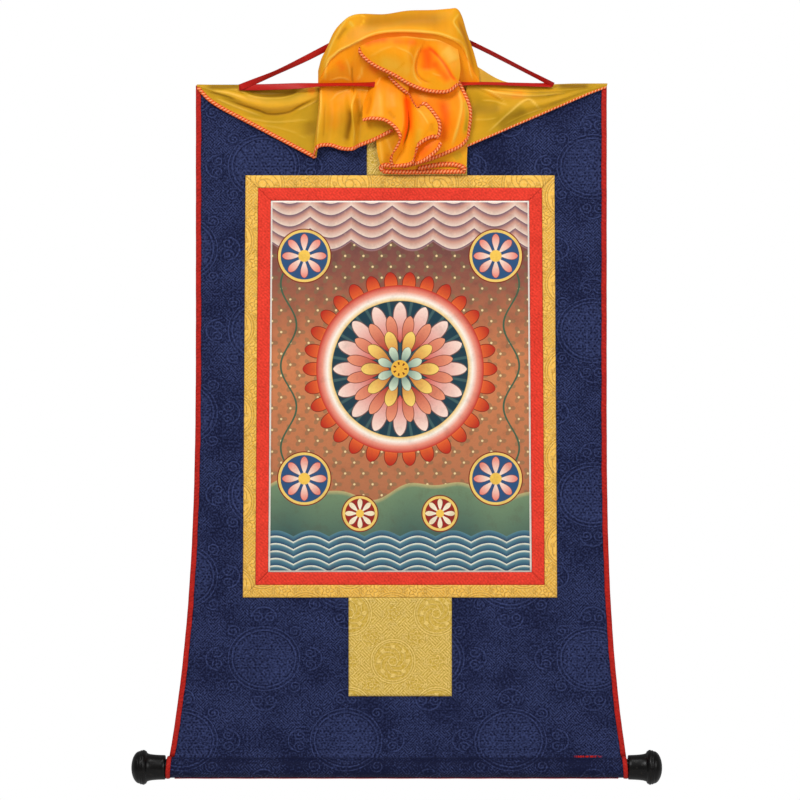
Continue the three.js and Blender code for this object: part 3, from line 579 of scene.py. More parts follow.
def gold_brocade(name, ground, colours, raised):
    """Gold brocade: ringed roundels, small flowers and a key fret in bright thread."""
    finish = Finish(name, "gold_brocade")
    u, v, _ = finish.axes
    x, y, r = staggered(u + 8.0, v - 742.0, 100.0, 110.0)
    angle = y.heading(x)
    rings = r.line(25.2, 0.45, 0.5).most(r.line(22.6, 0.3, 0.5))
    swirl = (angle * 3 + r * 0.5).sine()
    inner = swirl.line(0, 0.14, 0.2) * (1 - r.rise(19, 20.5)) * r.rise(4, 6)
    inner = inner.most(r.line(5, 0.4, 0.5)).most((angle * 8).cosine().rise(0.2, 0.6) * r.line(16.5, 1.8, 0.8) * 0.8)
    fx, fy, fr = staggered(u + 33.0, v - 714.5, 50.0, 55.0)
    edge = (fy.heading(fx) * 5).cosine() * 1.6 + 5.8
    blossom = (1 - abs(fr - edge).rise(0.35, 1.0)).most(fr.line(2.0, 0.3, 0.4))
    bars = abs(abs(fx) - 12.5).line(1.1, 0.35, 0.3) * (1 - abs(fy).rise(3.6, 4.2))
    bars = bars.most(abs(abs(fy) - 12.5).line(1.1, 0.35, 0.3) * (1 - abs(fx).rise(3.6, 4.2)))
    outside = r.rise(26.5, 27.5)
    away = fr.rise(8, 9)
    fret = key_fret(u, v, 3.9) * outside * away * (1 - bars.rise(0.0, 0.1)) * 0.8
    figure = rings.most(inner).most(blossom * outside).most(bars * outside).most(fret)
    wear = finish.start.noise(finish.place, 30.0)
    thread = finish.start.noise(finish.place, 430.0, 2.0)
    shade = (thread - 0.5) * 1.3 + 0.2 + figure * raised
    dull = figure * (0.7 - raised) + (wear - 0.45) * 0.5
    base = dull.mix(ground, [ground[0] * 0.58, ground[1] * 0.5, ground[2] * 0.34])
    finish.set(Base_Color=shade.mix(base, colours.gold_thread), Roughness=0.6 - figure * 0.18, Metallic=thread * 0.12)
    finish.set(Sheen_Weight=0.02, Specular_IOR_Level=0.15)
    finish.bump(figure + weave(u, v, 1.1) * 0.2 + thread * 0.6, 0.8, 0.8)
    return finish


def red_silk(name, slot, ground, shine=0.62):
    """Red twill silk with fine diagonal ribs."""
    finish = Finish(name, slot)
    u, v, _ = finish.axes
    ribs = ((u + v) * (math.pi / 0.8)).sine() * 0.5 + 0.5
    coarse = ((u + v * 0.9) * (math.pi / 2.1)).sine() * 0.5 + 0.5
    wear = finish.start.noise(finish.place, 60.0)
    fibre = finish.start.noise(finish.place, 430.0, 2.0)
    shade = ribs * 0.1 + coarse * 0.16 + (wear - 0.5) * 0.5 + (fibre - 0.5) * 1.3 + 0.4
    dark = [c * 0.5 for c in ground]
    finish.set(Base_Color=(1 - shade).mix([min(1.0, c * 1.35 + 0.012) for c in ground], dark))
    finish.set(Roughness=shine + (wear - 0.5) * 0.2, Sheen_Weight=0.03, Specular_IOR_Level=0.12)
    finish.bump(ribs * 0.4 + fibre * 0.8, 0.4, 0.35)
    return finish


def satin_ribbon(colours):
    """Red satin ribbon: painted satin sheen in lengthwise streaks of its colour, and edges that are darker and raised.
    """
    finish = Finish("satin_ribbon", "red_ribbon")
    u, v, _ = finish.axes
    # Painted satin sheen: lengthwise streaks of lighter and darker red.
    painted_sheen_streak = finish.start.noise(finish.start.node("ShaderNodeCombineXYZ", None, {0: u * 3.0, 1: v * 0.04}), 1.0)
    fibre = finish.start.noise(finish.place, 1500.0, 2.0)
    # Darker and raised along both edges.
    edge = abs(u).rise(2.6, 3.1)
    shade = (painted_sheen_streak - 0.5) * 0.9 + edge * 0.3 + 0.3
    ground = colours.ribbon
    finish.set(Base_Color=shade.mix([min(1.0, c * 1.3) for c in ground], [c * 0.55 for c in ground]))
    finish.set(Roughness=0.4 + fibre * 0.14, Sheen_Weight=0.03, Specular_IOR_Level=0.25)
    finish.bump(fibre + edge * 0.8, 0.35, 0.3)
    return finish


def veil_silk(colours):
    """Sheer saffron silk with its light painted into its colour: olive where the navy shows through one layer, deep
    orange inside the folds, painted highlights along its creases, painted shade in its hollows, and a weak painted
    glow.
    """
    finish = Finish("veil_silk", "veil_silk")
    u, v, _ = finish.axes
    depth = finish.start.node("ShaderNodeAttribute", {"attribute_name": "depth"}, output=2)
    light = finish.start.node("ShaderNodeAttribute", {"attribute_name": "light"}, output=2)
    slub = finish.start.noise(finish.start.node("ShaderNodeCombineXYZ", None, {0: u * 0.2, 1: v * 0.02}), 1.0)
    cloud = finish.start.noise(finish.place, 60.0, 2.0)
    fibre = finish.start.noise(finish.place, 1200.0, 2.0)
    # Painted see-through and fold glow: olive where the navy shows through one layer, the silk's own saffron, deep
    # orange inside the folds.
    colour = (depth + (cloud - 0.5) * 0.14).ramp([
        (0.0, linear(112, 82, 6)), (0.15, linear(152, 116, 20)), (0.3, colours.veil_thin),
        (0.42, linear(222, 158, 30)), (0.55, colours.veil), (0.75, linear(250, 124, 10)), (1.0, colours.veil_deep),
    ])
    # Painted highlights along the creases and painted shade in the hollows.
    shade = light + (slub - 0.5) * 0.16
    colour = (shade.most(0.0) * 0.9).mix(colour, colours.veil_pale)
    colour = ((0 - shade).most(0.0) * 0.9).mix(colour, colours.veil_dark)
    finish.set(Base_Color=colour, Alpha=0.97 + depth * 0.03, Roughness=0.36 + fibre * 0.14)
    # A weak glow in the silk's own colour: painted light standing in for light passing through it.
    finish.set(Sheen_Weight=0.02, Specular_IOR_Level=0.14, Emission_Color=colour, Emission_Strength=0.05)
    finish.bump(slub * 0.6 + weave(u, v, 0.7) * 0.2 + fibre * 0.25, 0.25, 0.3)
    return finish


def overlock_thread(colours, pitch):
    """Overlock stitches: slanting orange threads with pale ticks between dark loops at the edges."""
    finish = Finish("overlock_thread", "veil_silk")
    u, v, _ = finish.axes
    run = (v / (pitch / MM) + u * 0.16).fract()
    tick = run.line(0.5, 0.13, 0.12) * (1 - abs(u).rise(0.9, 1.7))
    loop = run.line(0.0, 0.1, 0.12).most(run.line(1.0, 0.1, 0.12)) * (0.35 + abs(u).rise(0.5, 1.3) * 0.65)
    wear = finish.start.noise(finish.place, 90.0)
    colour = (loop * 0.85).mix(colours.hem, [c * 0.3 for c in colours.hem])
    colour = (tick * 0.7 + (wear - 0.5) * 0.3).mix(colour, colours.hem_tick)
    finish.set(Base_Color=colour, Roughness=0.7 - tick * 0.15, Sheen_Weight=0.05, Specular_IOR_Level=0.2)
    finish.bump(tick - loop * 0.6, 0.6, 0.5)
    return finish


def black_lacquer(colours):
    """Black lacquered wood with faint turning lines and worn, lighter scuffs."""
    finish = Finish("black_lacquer", "black_wood", on_uv=False)
    x, _, _ = finish.axes
    turning = (x * 5.0 + finish.start.noise(finish.place, 120.0) * 2.0).sine() * 0.5 + 0.5
    scuff = finish.start.noise(finish.place, 260.0, 5.0).rise(0.58, 0.72)
    dust = finish.start.noise(finish.place, 60.0, 4.0)
    finish.set(Base_Color=(scuff * 0.3 + dust * 0.08).mix(colours.lacquer, linear(52, 48, 45)))
    finish.set(Roughness=0.28 + scuff * 0.2 + dust * 0.1, Specular_IOR_Level=0.22)
    finish.bump(turning * 0.3 - scuff * 0.3, 0.06, 0.1)
    return finish


def petal_ring(radius, angle, count, inner, outer, turn, fullness):
    """Masks of a ring of pointed petals: their body, their outline, and how far out along a petal a point is."""
    across = abs(fold_angle(angle, count, turn)) * (count / math.pi)
    along = (radius - inner) / (outer - inner)
    swell = (along.most(0.0) * (1.0 - along).most(0.0)) ** 0.55
    reach = swell * fullness - across
    body = reach.rise(0.0, 0.04)
    outline = body * (1 - reach.rise(0.05, 0.12))
    return body, outline, along


def lotus_painting(colours):
    """A painted lotus rosette in a rayed disc, with flower roundels, vines, clouds, hills and waves around it."""
    finish = Finish("lotus_painting", "painted_cotton")
    x, z, _ = finish.axes
    start = finish.start
    brush = start.noise(finish.place, 70.0, 5.0)
    fine = start.noise(finish.place, 420.0, 3.0)
    wash = ((z + 213.0) / 426.0 + (brush - 0.5) * 0.12).ramp([
        (0.0, linear(128, 84, 62)), (0.22, linear(178, 112, 78)), (0.55, colours.ground),
        (0.8, linear(138, 84, 70)), (1.0, colours.dusk),
    ])
    # Leaf sprigs over the ground.
    lx, ly, lr = staggered(x, z, 21.0, 25.0)
    l_angle = ly.heading(lx)
    sprig = 1 - (lr - ((l_angle * 3).cosine() * 2.2 + 4.6)).rise(-0.3, 0.5)
    paint = (sprig * 0.5).mix(wash, linear(120, 108, 78))
    paint = (1 - lr.rise(1.0, 1.6)).mix(paint, linear(236, 206, 150))
    # Hills and scalloped waves at the foot.
    hills = (x / 27.0).sine() * 9.0 + (x / 11.0 + 1.0).sine() * 4.0 - 118.0
    paint = (hills - z).rise(0.0, 1.0).mix(paint, ((hills - z) / 70.0).ramp([
        (0.0, linear(196, 178, 120)), (0.08, linear(112, 136, 104)), (1.0, linear(58, 86, 84)),
    ]))
    scallop = abs((x / 13.0).sine()) * 7.0
    wave_top = scallop - 172.0
    wave = ((z - scallop) / 8.5).fract()
    sea = wave.ramp([(0.0, linear(40, 70, 98)), (0.7, linear(86, 128, 140)), (0.9, linear(226, 226, 206))])
    paint = (wave_top - z).rise(0.0, 0.8).mix(paint, sea)
    # Clouds at the head.
    puffs = 166.0 - abs((x / 15.0 + 0.6).sine()) * 11.0
    cloud = (z - puffs).rise(0.0, 0.8)
    billow = ((z + abs((x / 15.0 + 0.6).sine()) * 11.0) / 13.0).fract()
    sky = billow.ramp([(0.0, linear(238, 214, 196)), (0.6, linear(206, 150, 132)), (0.95, linear(120, 92, 104))])
    paint = (cloud * 0.92).mix(paint, sky)
    # Vines between the side roundels.
    vine = abs(x) - ((z / 15.0).sine() * 9.0 + 128.0)
    paint = (vine.line(0.0, 0.8, 0.6) * (1 - cloud) * (z - hills).rise(0, 4)).mix(paint, linear(66, 96, 74))
    # Flower roundels in four corners, and two small ones below.
    for centre_x, middle_z, half_z, size, ground, petal in (
        (110.0, 22.0, 128.0, 31.0, linear(48, 82, 122), linear(232, 120, 104)),
        (46.0, -146.0, 0.0, 21.0, linear(150, 44, 38), linear(240, 222, 176)),
    ):
        mx, mz = abs(x) - centre_x, abs(z - middle_z) - half_z
        r, angle = polar(mx, mz)
        paint = (1 - r.rise(size, size + 0.6)).mix(paint, linear(120, 34, 30))
        paint = (1 - r.rise(size - 1.2, size - 0.6)).mix(paint, linear(238, 198, 104))
        paint = (1 - r.rise(size - 4.2, size - 3.6)).mix(paint, ground)
        body, outline, along = petal_ring(r, angle, 8, size * 0.12, size * 0.82, 0.0, 1.5)
        paint = body.mix(paint, along.ramp([(0.0, linear(250, 236, 216)), (1.0, petal)]))
        paint = outline.mix(paint, linear(96, 30, 30))
        paint = (1 - r.rise(size * 0.2, size * 0.24)).mix(paint, linear(244, 196, 84))
    # Rayed disc with the lotus rosette.
    r, angle = polar(x, z - 20.0)
    body, outline, along = petal_ring(r, angle, 30, 84.0, 112.0, 0.0, 1.7)
    paint = body.mix(paint, along.ramp([
        (0.0, linear(244, 190, 84)), (0.5, linear(222, 92, 48)), (1.0, linear(176, 36, 30)),
    ]))
    paint = outline.mix(paint, linear(92, 26, 26))
    halo = ((r - 78.0) / 18.0).ramp([
        (0.0, linear(236, 190, 96)), (0.3, linear(250, 240, 224)), (0.62, linear(236, 150, 128)),
        (1.0, linear(196, 52, 40)),
    ])
    paint = (1 - r.rise(96.0, 96.7)).mix(paint, halo)
    disc = ((angle * 36).cosine().rise(0.5, 0.9) * 0.35).mix(linear(34, 62, 74), linear(96, 130, 122))
    paint = (1 - r.rise(78.0, 78.7)).mix(paint, disc)
    for count, inner, outer, turn, low, high in (
        (16, 30.0, 77.0, 0.0, linear(206, 70, 62), linear(250, 222, 206)),
        (16, 24.0, 62.0, 0.5, linear(168, 36, 34), linear(238, 152, 118)),
        (10, 12.0, 45.0, 0.0, linear(190, 82, 30), linear(250, 214, 112)),
        (8, 4.0, 27.0, 0.5, linear(52, 96, 92), linear(214, 230, 200)),
    ):
        body, outline, along = petal_ring(r, angle, count, inner, outer, turn, 1.6)
        paint = body.mix(paint, along.ramp([(0.0, low), (1.0, high)]))
        paint = outline.mix(paint, linear(84, 26, 28))
    seeds = (angle * 7).cosine().rise(0.4, 0.7) * r.line(6.5, 1.3, 0.6)
    paint = (1 - r.rise(10.0, 10.6)).mix(paint, linear(236, 178, 66))
    paint = seeds.mix(paint, linear(120, 60, 30))
    # Thin white edge line, brush grain and age.
    half_width = 149.4 - (z / 213.0) * 1.4
    edge = (abs(x) - half_width).rise(-1.7, -1.3).most(abs(z).rise(211.4, 211.8))
    paint = edge.mix(paint, linear(244, 236, 224))
    aged = (brush.rise(0.45, 0.8) * 0.22 + (fine - 0.5) * 0.3).mix(paint, linear(84, 56, 48))
    finish.set(Base_Color=aged, Roughness=0.6 - brush * 0.12, Specular_IOR_Level=0.15)
    finish.bump(fine * 0.6 + brush * 0.5 + weave(x, z, 1.0) * 0.3, 0.25, 0.3)
    return finish


def hang(x, drop, out):
    """A point in metres from its x, its drop below the panel's top edge and its distance out from the face."""
    return Vector((x, -(PANEL_HALF + out), PANEL_TOP - drop)) * MM


def ripple(x, z, amount):
    """How far the hung brocade swells out of flat at a point, in metres: long soft waves, stronger near the foot."""
    low = max(0.0, (-560.0 - z) / 290.0)
    wave = math.sin(x / 61.0 + z / 170.0) + 0.6 * math.sin(x / 37.0 - z / 95.0 + 1.3)
    return amount * (0.25 + 0.75 * low) * wave * min(1.0, max(0.0, (z + 850.0) / 40.0))


def edge_x(side, z):
    """The panel's cut edge: straight above, then flaring outwards to the roll."""
    half, start, reach = FLARES[side]
    share = max(0.0, (start - z) / (start - ROLL_Z - ROLL_RADIUS))
    return side * (half + reach * share**3)


def smooth_point(points, share):
    """A point on the smooth line through points, share running from 0 to 1 along it."""
    last = len(points) - 1
    place = min(max(share, 0.0), 1.0) * last
    i = min(int(place), last - 1)
    t = place - i
    a, b = points[i], points[i + 1]
    before = points[i - 1] if i > 0 else 2 * a - b
    after = points[i + 2] if i + 2 <= last else 2 * b - a
    slope_a, slope_b = (b - before) * 0.5, (after - a) * 0.5
    rise = (t**3 - 2 * t**2 + t) * slope_a + (t**3 - t**2) * slope_b
    return (2 * t**3 - 3 * t**2 + 1) * a + (3 * t**2 - 2 * t**3) * b + rise


def new_cloth():
    """An empty mesh with a UV map, in metres, and a painted depth of colour for each point."""
    mesh = bmesh.new()
    mesh.loops.layers.uv.new("UVMap")
    mesh.verts.layers.float.new("depth")
    return mesh


def lay_grid(mesh, across, along, place, uv, facing=None):
    """Adds a grid whose points lie at place(u, v), and returns its points as columns of rows."""
    uv_layer = mesh.loops.layers.uv.active
    made = bmesh.ops.create_grid(mesh, x_segments=across, y_segments=along, size=0.5)["verts"]
    spot = {vert: (round((vert.co.x + 0.5) * across), round((vert.co.y + 0.5) * along)) for vert in made}
    faces = {face for vert in made for face in vert.link_faces}
    columns = [[None] * (along + 1) for _ in range(across + 1)]
    for vert, (i, j) in spot.items():
        columns[i][j] = vert
        vert.co = place(i / across, j / along)
    for face in faces:
        face.smooth = True
        for loop in face.loops:
            i, j = spot[loop.vert]
            loop[uv_layer].uv = uv(i / across, j / along)
        face.normal_update()
    if facing is not None and sum(face.normal.dot(facing) for face in faces) < 0:
        bmesh.ops.reverse_faces(mesh, faces=list(faces))
    return columns


def keep(mesh, name, finish, nodes, thickness=0.0):
    """Makes a finished mesh an object that stands for CAD nodes."""
    data = bpy.data.meshes.new(name)
    mesh.to_mesh(data)
    mesh.free()
    piece = bpy.data.objects.new(name, data)
    bpy.context.scene.collection.objects.link(piece)
    data.materials.append(finish.material)
    if thickness:
        solid = piece.modifiers.new("Thickness", "SOLIDIFY")
        solid.thickness = thickness * MM
        solid.offset = 0
    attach(piece, BODY)
    if nodes:
        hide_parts(*nodes)
    return piece


def lay_tube(mesh, points, normals, half_width, half_thickness, tapered=True, sides=10):
    """Adds a flattened tube along points, lying flat against normals, and returns the length it runs."""
    lengths = [0.0]
    for a, b in zip(points, points[1:]):
        lengths.append(lengths[-1] + (b - a).length)
    last = len(points) - 1

    def place(u, v):
        i = round(v * last)
        along = (points[min(i + 1, last)] - points[max(i - 1, 0)]).normalized()
        across = along.cross(normals[i]).normalized()
        out = across.cross(along).normalized()
        turn = 2 * math.pi * u
        swell = 0.02 if tapered and i in (0, last) else 1.0
        return points[i] + swell * (across * math.cos(turn) * half_width - out * math.sin(turn) * half_thickness)

    def uv(u, v):
        return (math.cos(2 * math.pi * u) * half_width, lengths[round(v * last)])

    columns = lay_grid(mesh, sides, last, place, uv)
    bmesh.ops.remove_doubles(mesh, verts=columns[0] + columns[-1], dist=1e-7)
    for j in (0, last):
        ring = [column[j] for column in columns[:-1] if column[j].is_valid]
        face = bmesh.ops.contextual_create(mesh, geom=ring)["faces"]
        for made in face:
            made.smooth = True
    return lengths[-1]


class SCROLL_OT_stage(bpy.types.Operator):
    """Camera, soft studio light and a pale floor below the hanging scroll"""

    bl_idname = "scroll.stage"
    bl_label = "Stage"

    # Lights: name, place, size in metres, power in watts, and the point that each looks at.
    LIGHTS = [
        ("key_light", (-1.3, -2.3, 1.5), 1.3, 57.0, (0.0, 0.0, -0.35)),
        ("fill_light", (1.8, -2.4, 0.4), 1.6, 31.0, (0.0, 0.0, -0.45)),
        ("top_light", (0.3, -0.9, 1.6), 0.8, 9.0, (0.0, 0.0, -0.2)),
    ]
    ROOM_LIGHT = 0.27
    SENSOR_MM, PICTURE_SIZE = 36.0, 0.92
    FLOOR_RADIUS, FLOOR_Z = 1.5, -1.2

    def execute(self, context):
        scene = context.scene
        scene.view_settings.view_transform = "Standard"
        scene.view_settings.look = "None"
        self.add_camera(scene)
        for light in self.LIGHTS:
            self.add_light(*light)
        self.add_world(scene)
        self.add_floor(scene)
        return {"FINISHED"}

    def add_camera(self, scene):
        data = bpy.data.cameras.new("camera")
        data.sensor_width = self.SENSOR_MM
        data.lens = self.SENSOR_MM * CAMERA_DISTANCE / self.PICTURE_SIZE
        data.dof.use_dof = False
        camera = bpy.data.objects.new("camera", data)
        camera.location = (0.0, -CAMERA_DISTANCE, CAMERA_Z)
        camera.rotation_euler = (math.pi / 2, 0.0, 0.0)
        scene.collection.objects.link(camera)
        scene.camera = camera

    def add_light(self, name, place, size, power, target):
        data = bpy.data.lights.new(name, "AREA")
        data.shape = "DISK"
        data.size = size
        data.energy = power
        light = bpy.data.objects.new(name, data)
        light.location = place
        light.rotation_euler = (Vector(target) - Vector(place)).to_track_quat("-Z", "Y").to_euler()
        bpy.context.scene.collection.objects.link(light)

    def add_world(self, scene):
        world = bpy.data.worlds.new("white_room")
        world.use_nodes = True
        tree = world.node_tree
        tree.nodes.clear()
        start = Shade(tree)
        seen = start.node("ShaderNodeLightPath")
        room = start.node("ShaderNodeBackground", None, {"Color": (1, 1, 1, 1), "Strength": self.ROOM_LIGHT})
        white = start.node("ShaderNodeBackground", None, {"Color": (1, 1, 1, 1), "Strength": 1.0})
        both = start.node("ShaderNodeMixShader", None, {0: seen, 1: room, 2: white})
        start.node("ShaderNodeOutputWorld", None, {0: both})
        scene.world = world

    def add_floor(self, scene):
        mesh = bmesh.new()
        bmesh.ops.create_circle(mesh, cap_ends=True, segments=96, radius=self.FLOOR_RADIUS)
        bmesh.ops.translate(mesh, verts=mesh.verts, vec=(0.0, 0.0, self.FLOOR_Z))
        data = bpy.data.meshes.new("floor")
        mesh.to_mesh(data)
        mesh.free()
        floor = bpy.data.objects.new("floor", data)
        material = bpy.data.materials.new("pale_floor")
        material.use_nodes = True
        shader = material.node_tree.nodes["Principled BSDF"]
        shader.inputs["Base Color"].default_value = (0.86, 0.86, 0.86, 1)
        shader.inputs["Roughness"].default_value = 0.8
        data.materials.append(material)
        scene.collection.objects.link(floor)


class SCROLL_OT_ribbons(bpy.types.Operator):
    """Hanging ribbon and the tie that gathers the veil"""

    bl_idname = "scroll.ribbons"
    bl_label = "Ribbons"

    def execute(self, context):
        finish = satin_ribbon(context.scene.scroll_colours)
        for name, route in (("hanging_ribbon", HANGING_ROUTE), ("tie_ribbon", TIE_ROUTE)):
            self.add_ribbon(context.scene.scroll_sizes, name, route, finish)
        return {"FINISHED"}

    def add_ribbon(self, sizes, name, route, finish):
        knots = [hang(x, drop, out) for x, drop, out, _ in route]
        twists = [Vector((twist, 0.0, 0.0)) for *_, twist in route]
        steps = 160
        points = [smooth_point(knots, i / steps) for i in range(steps + 1)]
        normals = []
        for i in range(steps + 1):
            turn = math.radians(smooth_point(twists, i / steps).x)
            along = (points[min(i + 1, steps)] - points[max(i - 1, 0)]).normalized()
            up = along.cross(TO_VIEWER).normalized()
            normals.append(TO_VIEWER * math.cos(turn) + up * math.sin(turn))
        mesh = new_cloth()
        length = lay_tube(
            mesh, points, normals, sizes.ribbon_width / 2, sizes.ribbon_thickness / 2, tapered=False, sides=16
        )
        bmesh.ops.recalc_face_normals(mesh, faces=mesh.faces)
        piece = keep(mesh, name + "_satin", finish, [name])
        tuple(points[0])


class SCROLL_OT_panel(bpy.types.Operator):
    """Navy brocade panel, turned round the rod at its foot"""

    bl_idname = "scroll.panel"
    bl_label = "Brocade panel"

    COLUMNS, SHEET_ROWS, ROLL_ROWS = 60, 96, 36
    # Where on the roll the sheet meets it, and how far round it goes, in degrees.
    ROLL_START, ROLL_TURN = 97.0, 346.0

    def execute(self, context):
        sizes = context.scene.scroll_sizes
        finish = navy_brocade(context.scene.scroll_colours)
        foot = ROLL_Z + ROLL_RADIUS + 0.5
        radius = ROLL_RADIUS - ROLL_WALL / 2
        rows = []
        for j in range(self.SHEET_ROWS + 1):
            z = PANEL_TOP + (foot - PANEL_TOP) * j / self.SHEET_ROWS
            rows.append((edge_x(-1, z), edge_x(1, z), None, z, PANEL_TOP - z))
        flat = rows[-1][4]
        for j in range(self.ROLL_ROWS + 1):
            wound = self.ROLL_TURN * j / self.ROLL_ROWS
            turn = math.radians(self.ROLL_START + wound)
            rise = math.sin(turn) * radius
            ends = (ROLL_LEFT + ROLL_SLANT * rise, ROLL_RIGHT - ROLL_SLANT * rise)
            run = flat + math.radians(wound) * radius
            rows.append((*ends, math.cos(turn) * radius, ROLL_Z + rise, run))
        last = len(rows) - 1

        def place(u, v):
            left, right, y, z, _ = rows[round(v * last)]
            x = left + (right - left) * u
            depth = ripple(x, z, sizes.ripple) if y is None else y * MM
            return Vector((x * MM, depth, z * MM))

        def uv(u, v):
            left, right, _, _, run = rows[round(v * last)]
            return ((left + (right - left) * u) * MM, (PANEL_TOP - run) * -MM)

        mesh = new_cloth()
        lay_grid(mesh, self.COLUMNS, last, place, uv)
        top = [face for face in mesh.faces if face.calc_center_median().z > -0.5]
        if sum(face.normal.y for face in top) > 0:
            bmesh.ops.reverse_faces(mesh, faces=mesh.faces)
        piece = keep(mesh, "navy_panel", finish, ["panel"], thickness=2.0 * PANEL_HALF)
        widths = [right - left for left, right, *_ in rows]
        steps = [b[4] - a[4] for a, b in zip(rows, rows[1:])]
        area = sum(w * s for w, s in zip(widths, steps)) * MM * MM
        flat_size = (max(widths) * MM, rows[-1][4] * MM)
        return {"FINISHED"}


class SCROLL_OT_bindings(bpy.types.Operator):
    """Red bindings of the side edges, their bands round the roll, and the strip along its underside"""

    bl_idname = "scroll.bindings"
    bl_label = "Bindings"

    # Section of the folded strip: distance outwards from the panel's cut edge, and from the panel's middle.
    SECTION = [
        (-4.6, -1.5), (-4.2, -1.95), (-2.2, -2.05), (0.0, -1.95), (0.8, -1.6), (1.1, -0.8), (1.1, 0.8), (0.8, 1.6),
        (0.0, 1.95), (-2.2, 2.05), (-4.2, 1.95), (-4.6, 1.5),
    ]
    TOP_DROP = 1.0
    SECTION_RUN, CUT_WIDTH = 14.0, 15.0
    # The band round the roll's end: its width, how far it stands out, its share of the roll's slant, and in degrees
    # where it starts and how far round it goes.
    BAND_WIDTH, BAND_OUT, BAND_SLANT = 5.0, 1.4, 0.4
    BAND_START, BAND_TURN, BAND_RUN = 98.0, 344.0, 75.0
    # The strip below the roll: its ends, half its width in radians, and the edge turned under.
    UNDER_LEFT, UNDER_RIGHT, UNDER_HALF = -259.0, 251.0, 0.3
    TURNED_UNDER = 1.4

    def execute(self, context):
        sizes, colours = context.scene.scroll_sizes, context.scene.scroll_colours
        finish = red_silk("red_binding", "red_binding", colours.binding)
        self.add_binding(sizes, finish, -1, "binding_left")
        self.add_binding(sizes, finish, 1, "binding_right")
        self.add_under_strip(finish)
        return {"FINISHED"}

    def add_binding(self, sizes, finish, side, node):
        top, foot, steps = PANEL_TOP - self.TOP_DROP, ROLL_Z + ROLL_RADIUS + GAP, 120
        last = len(self.SECTION) - 1

        def place(u, v):
            out, depth = self.SECTION[round(u * last)]
            z = top + (foot - top) * v
            pucker = 0.15 * math.sin(z / 3.7 + side) + 0.2 * math.sin(z / 11.0 + 2.0 * side)
            x = edge_x(side, z)
            level = min(1.0, (z - foot) / 4.0)
            slope = (edge_x(side, z + 0.5) - edge_x(side, z - 0.5)) * level
            across = Vector((side, 0.0, -side * slope)).normalized()
            spread = out + (pucker if out < -4.0 else 0.3 * pucker if out > 0.5 else 0.0)
            sway = ripple(x, z, sizes.ripple)
            return Vector((x * MM, depth * MM + sway, z * MM)) + across * (spread * MM)

        def uv(u, v):
            return (u * self.SECTION_RUN * MM, (foot - top) * v * MM)

        mesh = new_cloth()
        lay_grid(mesh, last, steps, place, uv)
        self.add_band(mesh, side)
        bmesh.ops.recalc_face_normals(mesh, faces=mesh.faces)
        piece = keep(mesh, node + "_silk", finish, [node], thickness=0.5)

    def add_band(self, mesh, side):
        end = ROLL_LEFT if side < 0 else ROLL_RIGHT
        swell = [0.3, 0.8, 0.95, 0.9, 0.8, 0.3]
        last = len(swell) - 1

        def place(u, v):
            turn = math.radians(self.BAND_START + self.BAND_TURN * v)
            radius = ROLL_RADIUS + swell[round(u * last)]
            rise = math.sin(turn) * radius
            x = end + side * (self.BAND_OUT - self.BAND_WIDTH * u - self.BAND_SLANT * ROLL_SLANT * rise)
            return Vector((x, math.cos(turn) * radius, ROLL_Z + rise)) * MM

        lay_grid(mesh, last, 48, place, lambda u, v: (u * self.BAND_WIDTH * MM, v * self.BAND_RUN * MM))

    def add_under_strip(self, finish):
        steps = 200

        def place(u, v):
            turn = -math.pi / 2 + self.UNDER_HALF * (2 * u - 1)
            x = self.UNDER_LEFT + (self.UNDER_RIGHT - self.UNDER_LEFT) * v
            edge = 0.35 if u in (0.0, 1.0) else 0.75 + 0.1 * math.sin(x / 7.0 + 5 * u)
            radius = ROLL_RADIUS + edge
            return Vector((x, math.cos(turn) * radius, ROLL_Z + math.sin(turn) * radius)) * MM

        length = (self.UNDER_RIGHT - self.UNDER_LEFT) * MM
        width = 2 * self.UNDER_HALF * ROLL_RADIUS * MM
        mesh = new_cloth()
        lay_grid(mesh, 6, steps, place, lambda u, v: (u * width, v * length), Vector((0, 0, -1)))
        piece = keep(mesh, "under_strip", finish, ["bottom_strip"], thickness=0.5)


def frame_corners(inset):
    """Corners of the picture's frame moved in by inset, in order from the top left, as x and z."""
    top, bottom = FRAME_TOP - inset, FRAME_BOTTOM + inset
    high, low = FRAME_TOP_HALF - inset, FRAME_BOTTOM_HALF - inset
    return [Vector((-high, top)), Vector((high, top)), Vector((low, bottom)), Vector((-low, bottom))]


def lay_sewn(mesh, sizes, corners, across, along, uv, swell=0.35, tuck=0.08, ends=2.0):
    """Adds a flat piece sewn to the panel: a little fuller in the middle and drawn down along its edges."""
    a, b, c, d = corners
    out = PANEL_HALF + GAP + STRIP_THICKNESS / 2

    def place(u, v):
        start, end = a.lerp(d, u), b.lerp(c, u)
        point = start.lerp(end, v)
        rim = min(1.0, min(u, 1 - u) / tuck)
        if ends:
            rim *= min(1.0, min(v, 1 - v) * (end - start).length / ends)
        full = swell * (1 - (1 - rim) ** 2) * (1 + 0.25 * math.sin(point.x / 5.3 + point.y / 7.1))
        depth = ripple(point.x, point.y, sizes.ripple)
        return Vector((point.x * MM, depth - (out + full - swell * 0.5) * MM, point.y * MM))

    lay_grid(mesh, across, along, place, lambda u, v: uv(a.lerp(d, u).lerp(b.lerp(c, u), v)), TO_VIEWER)


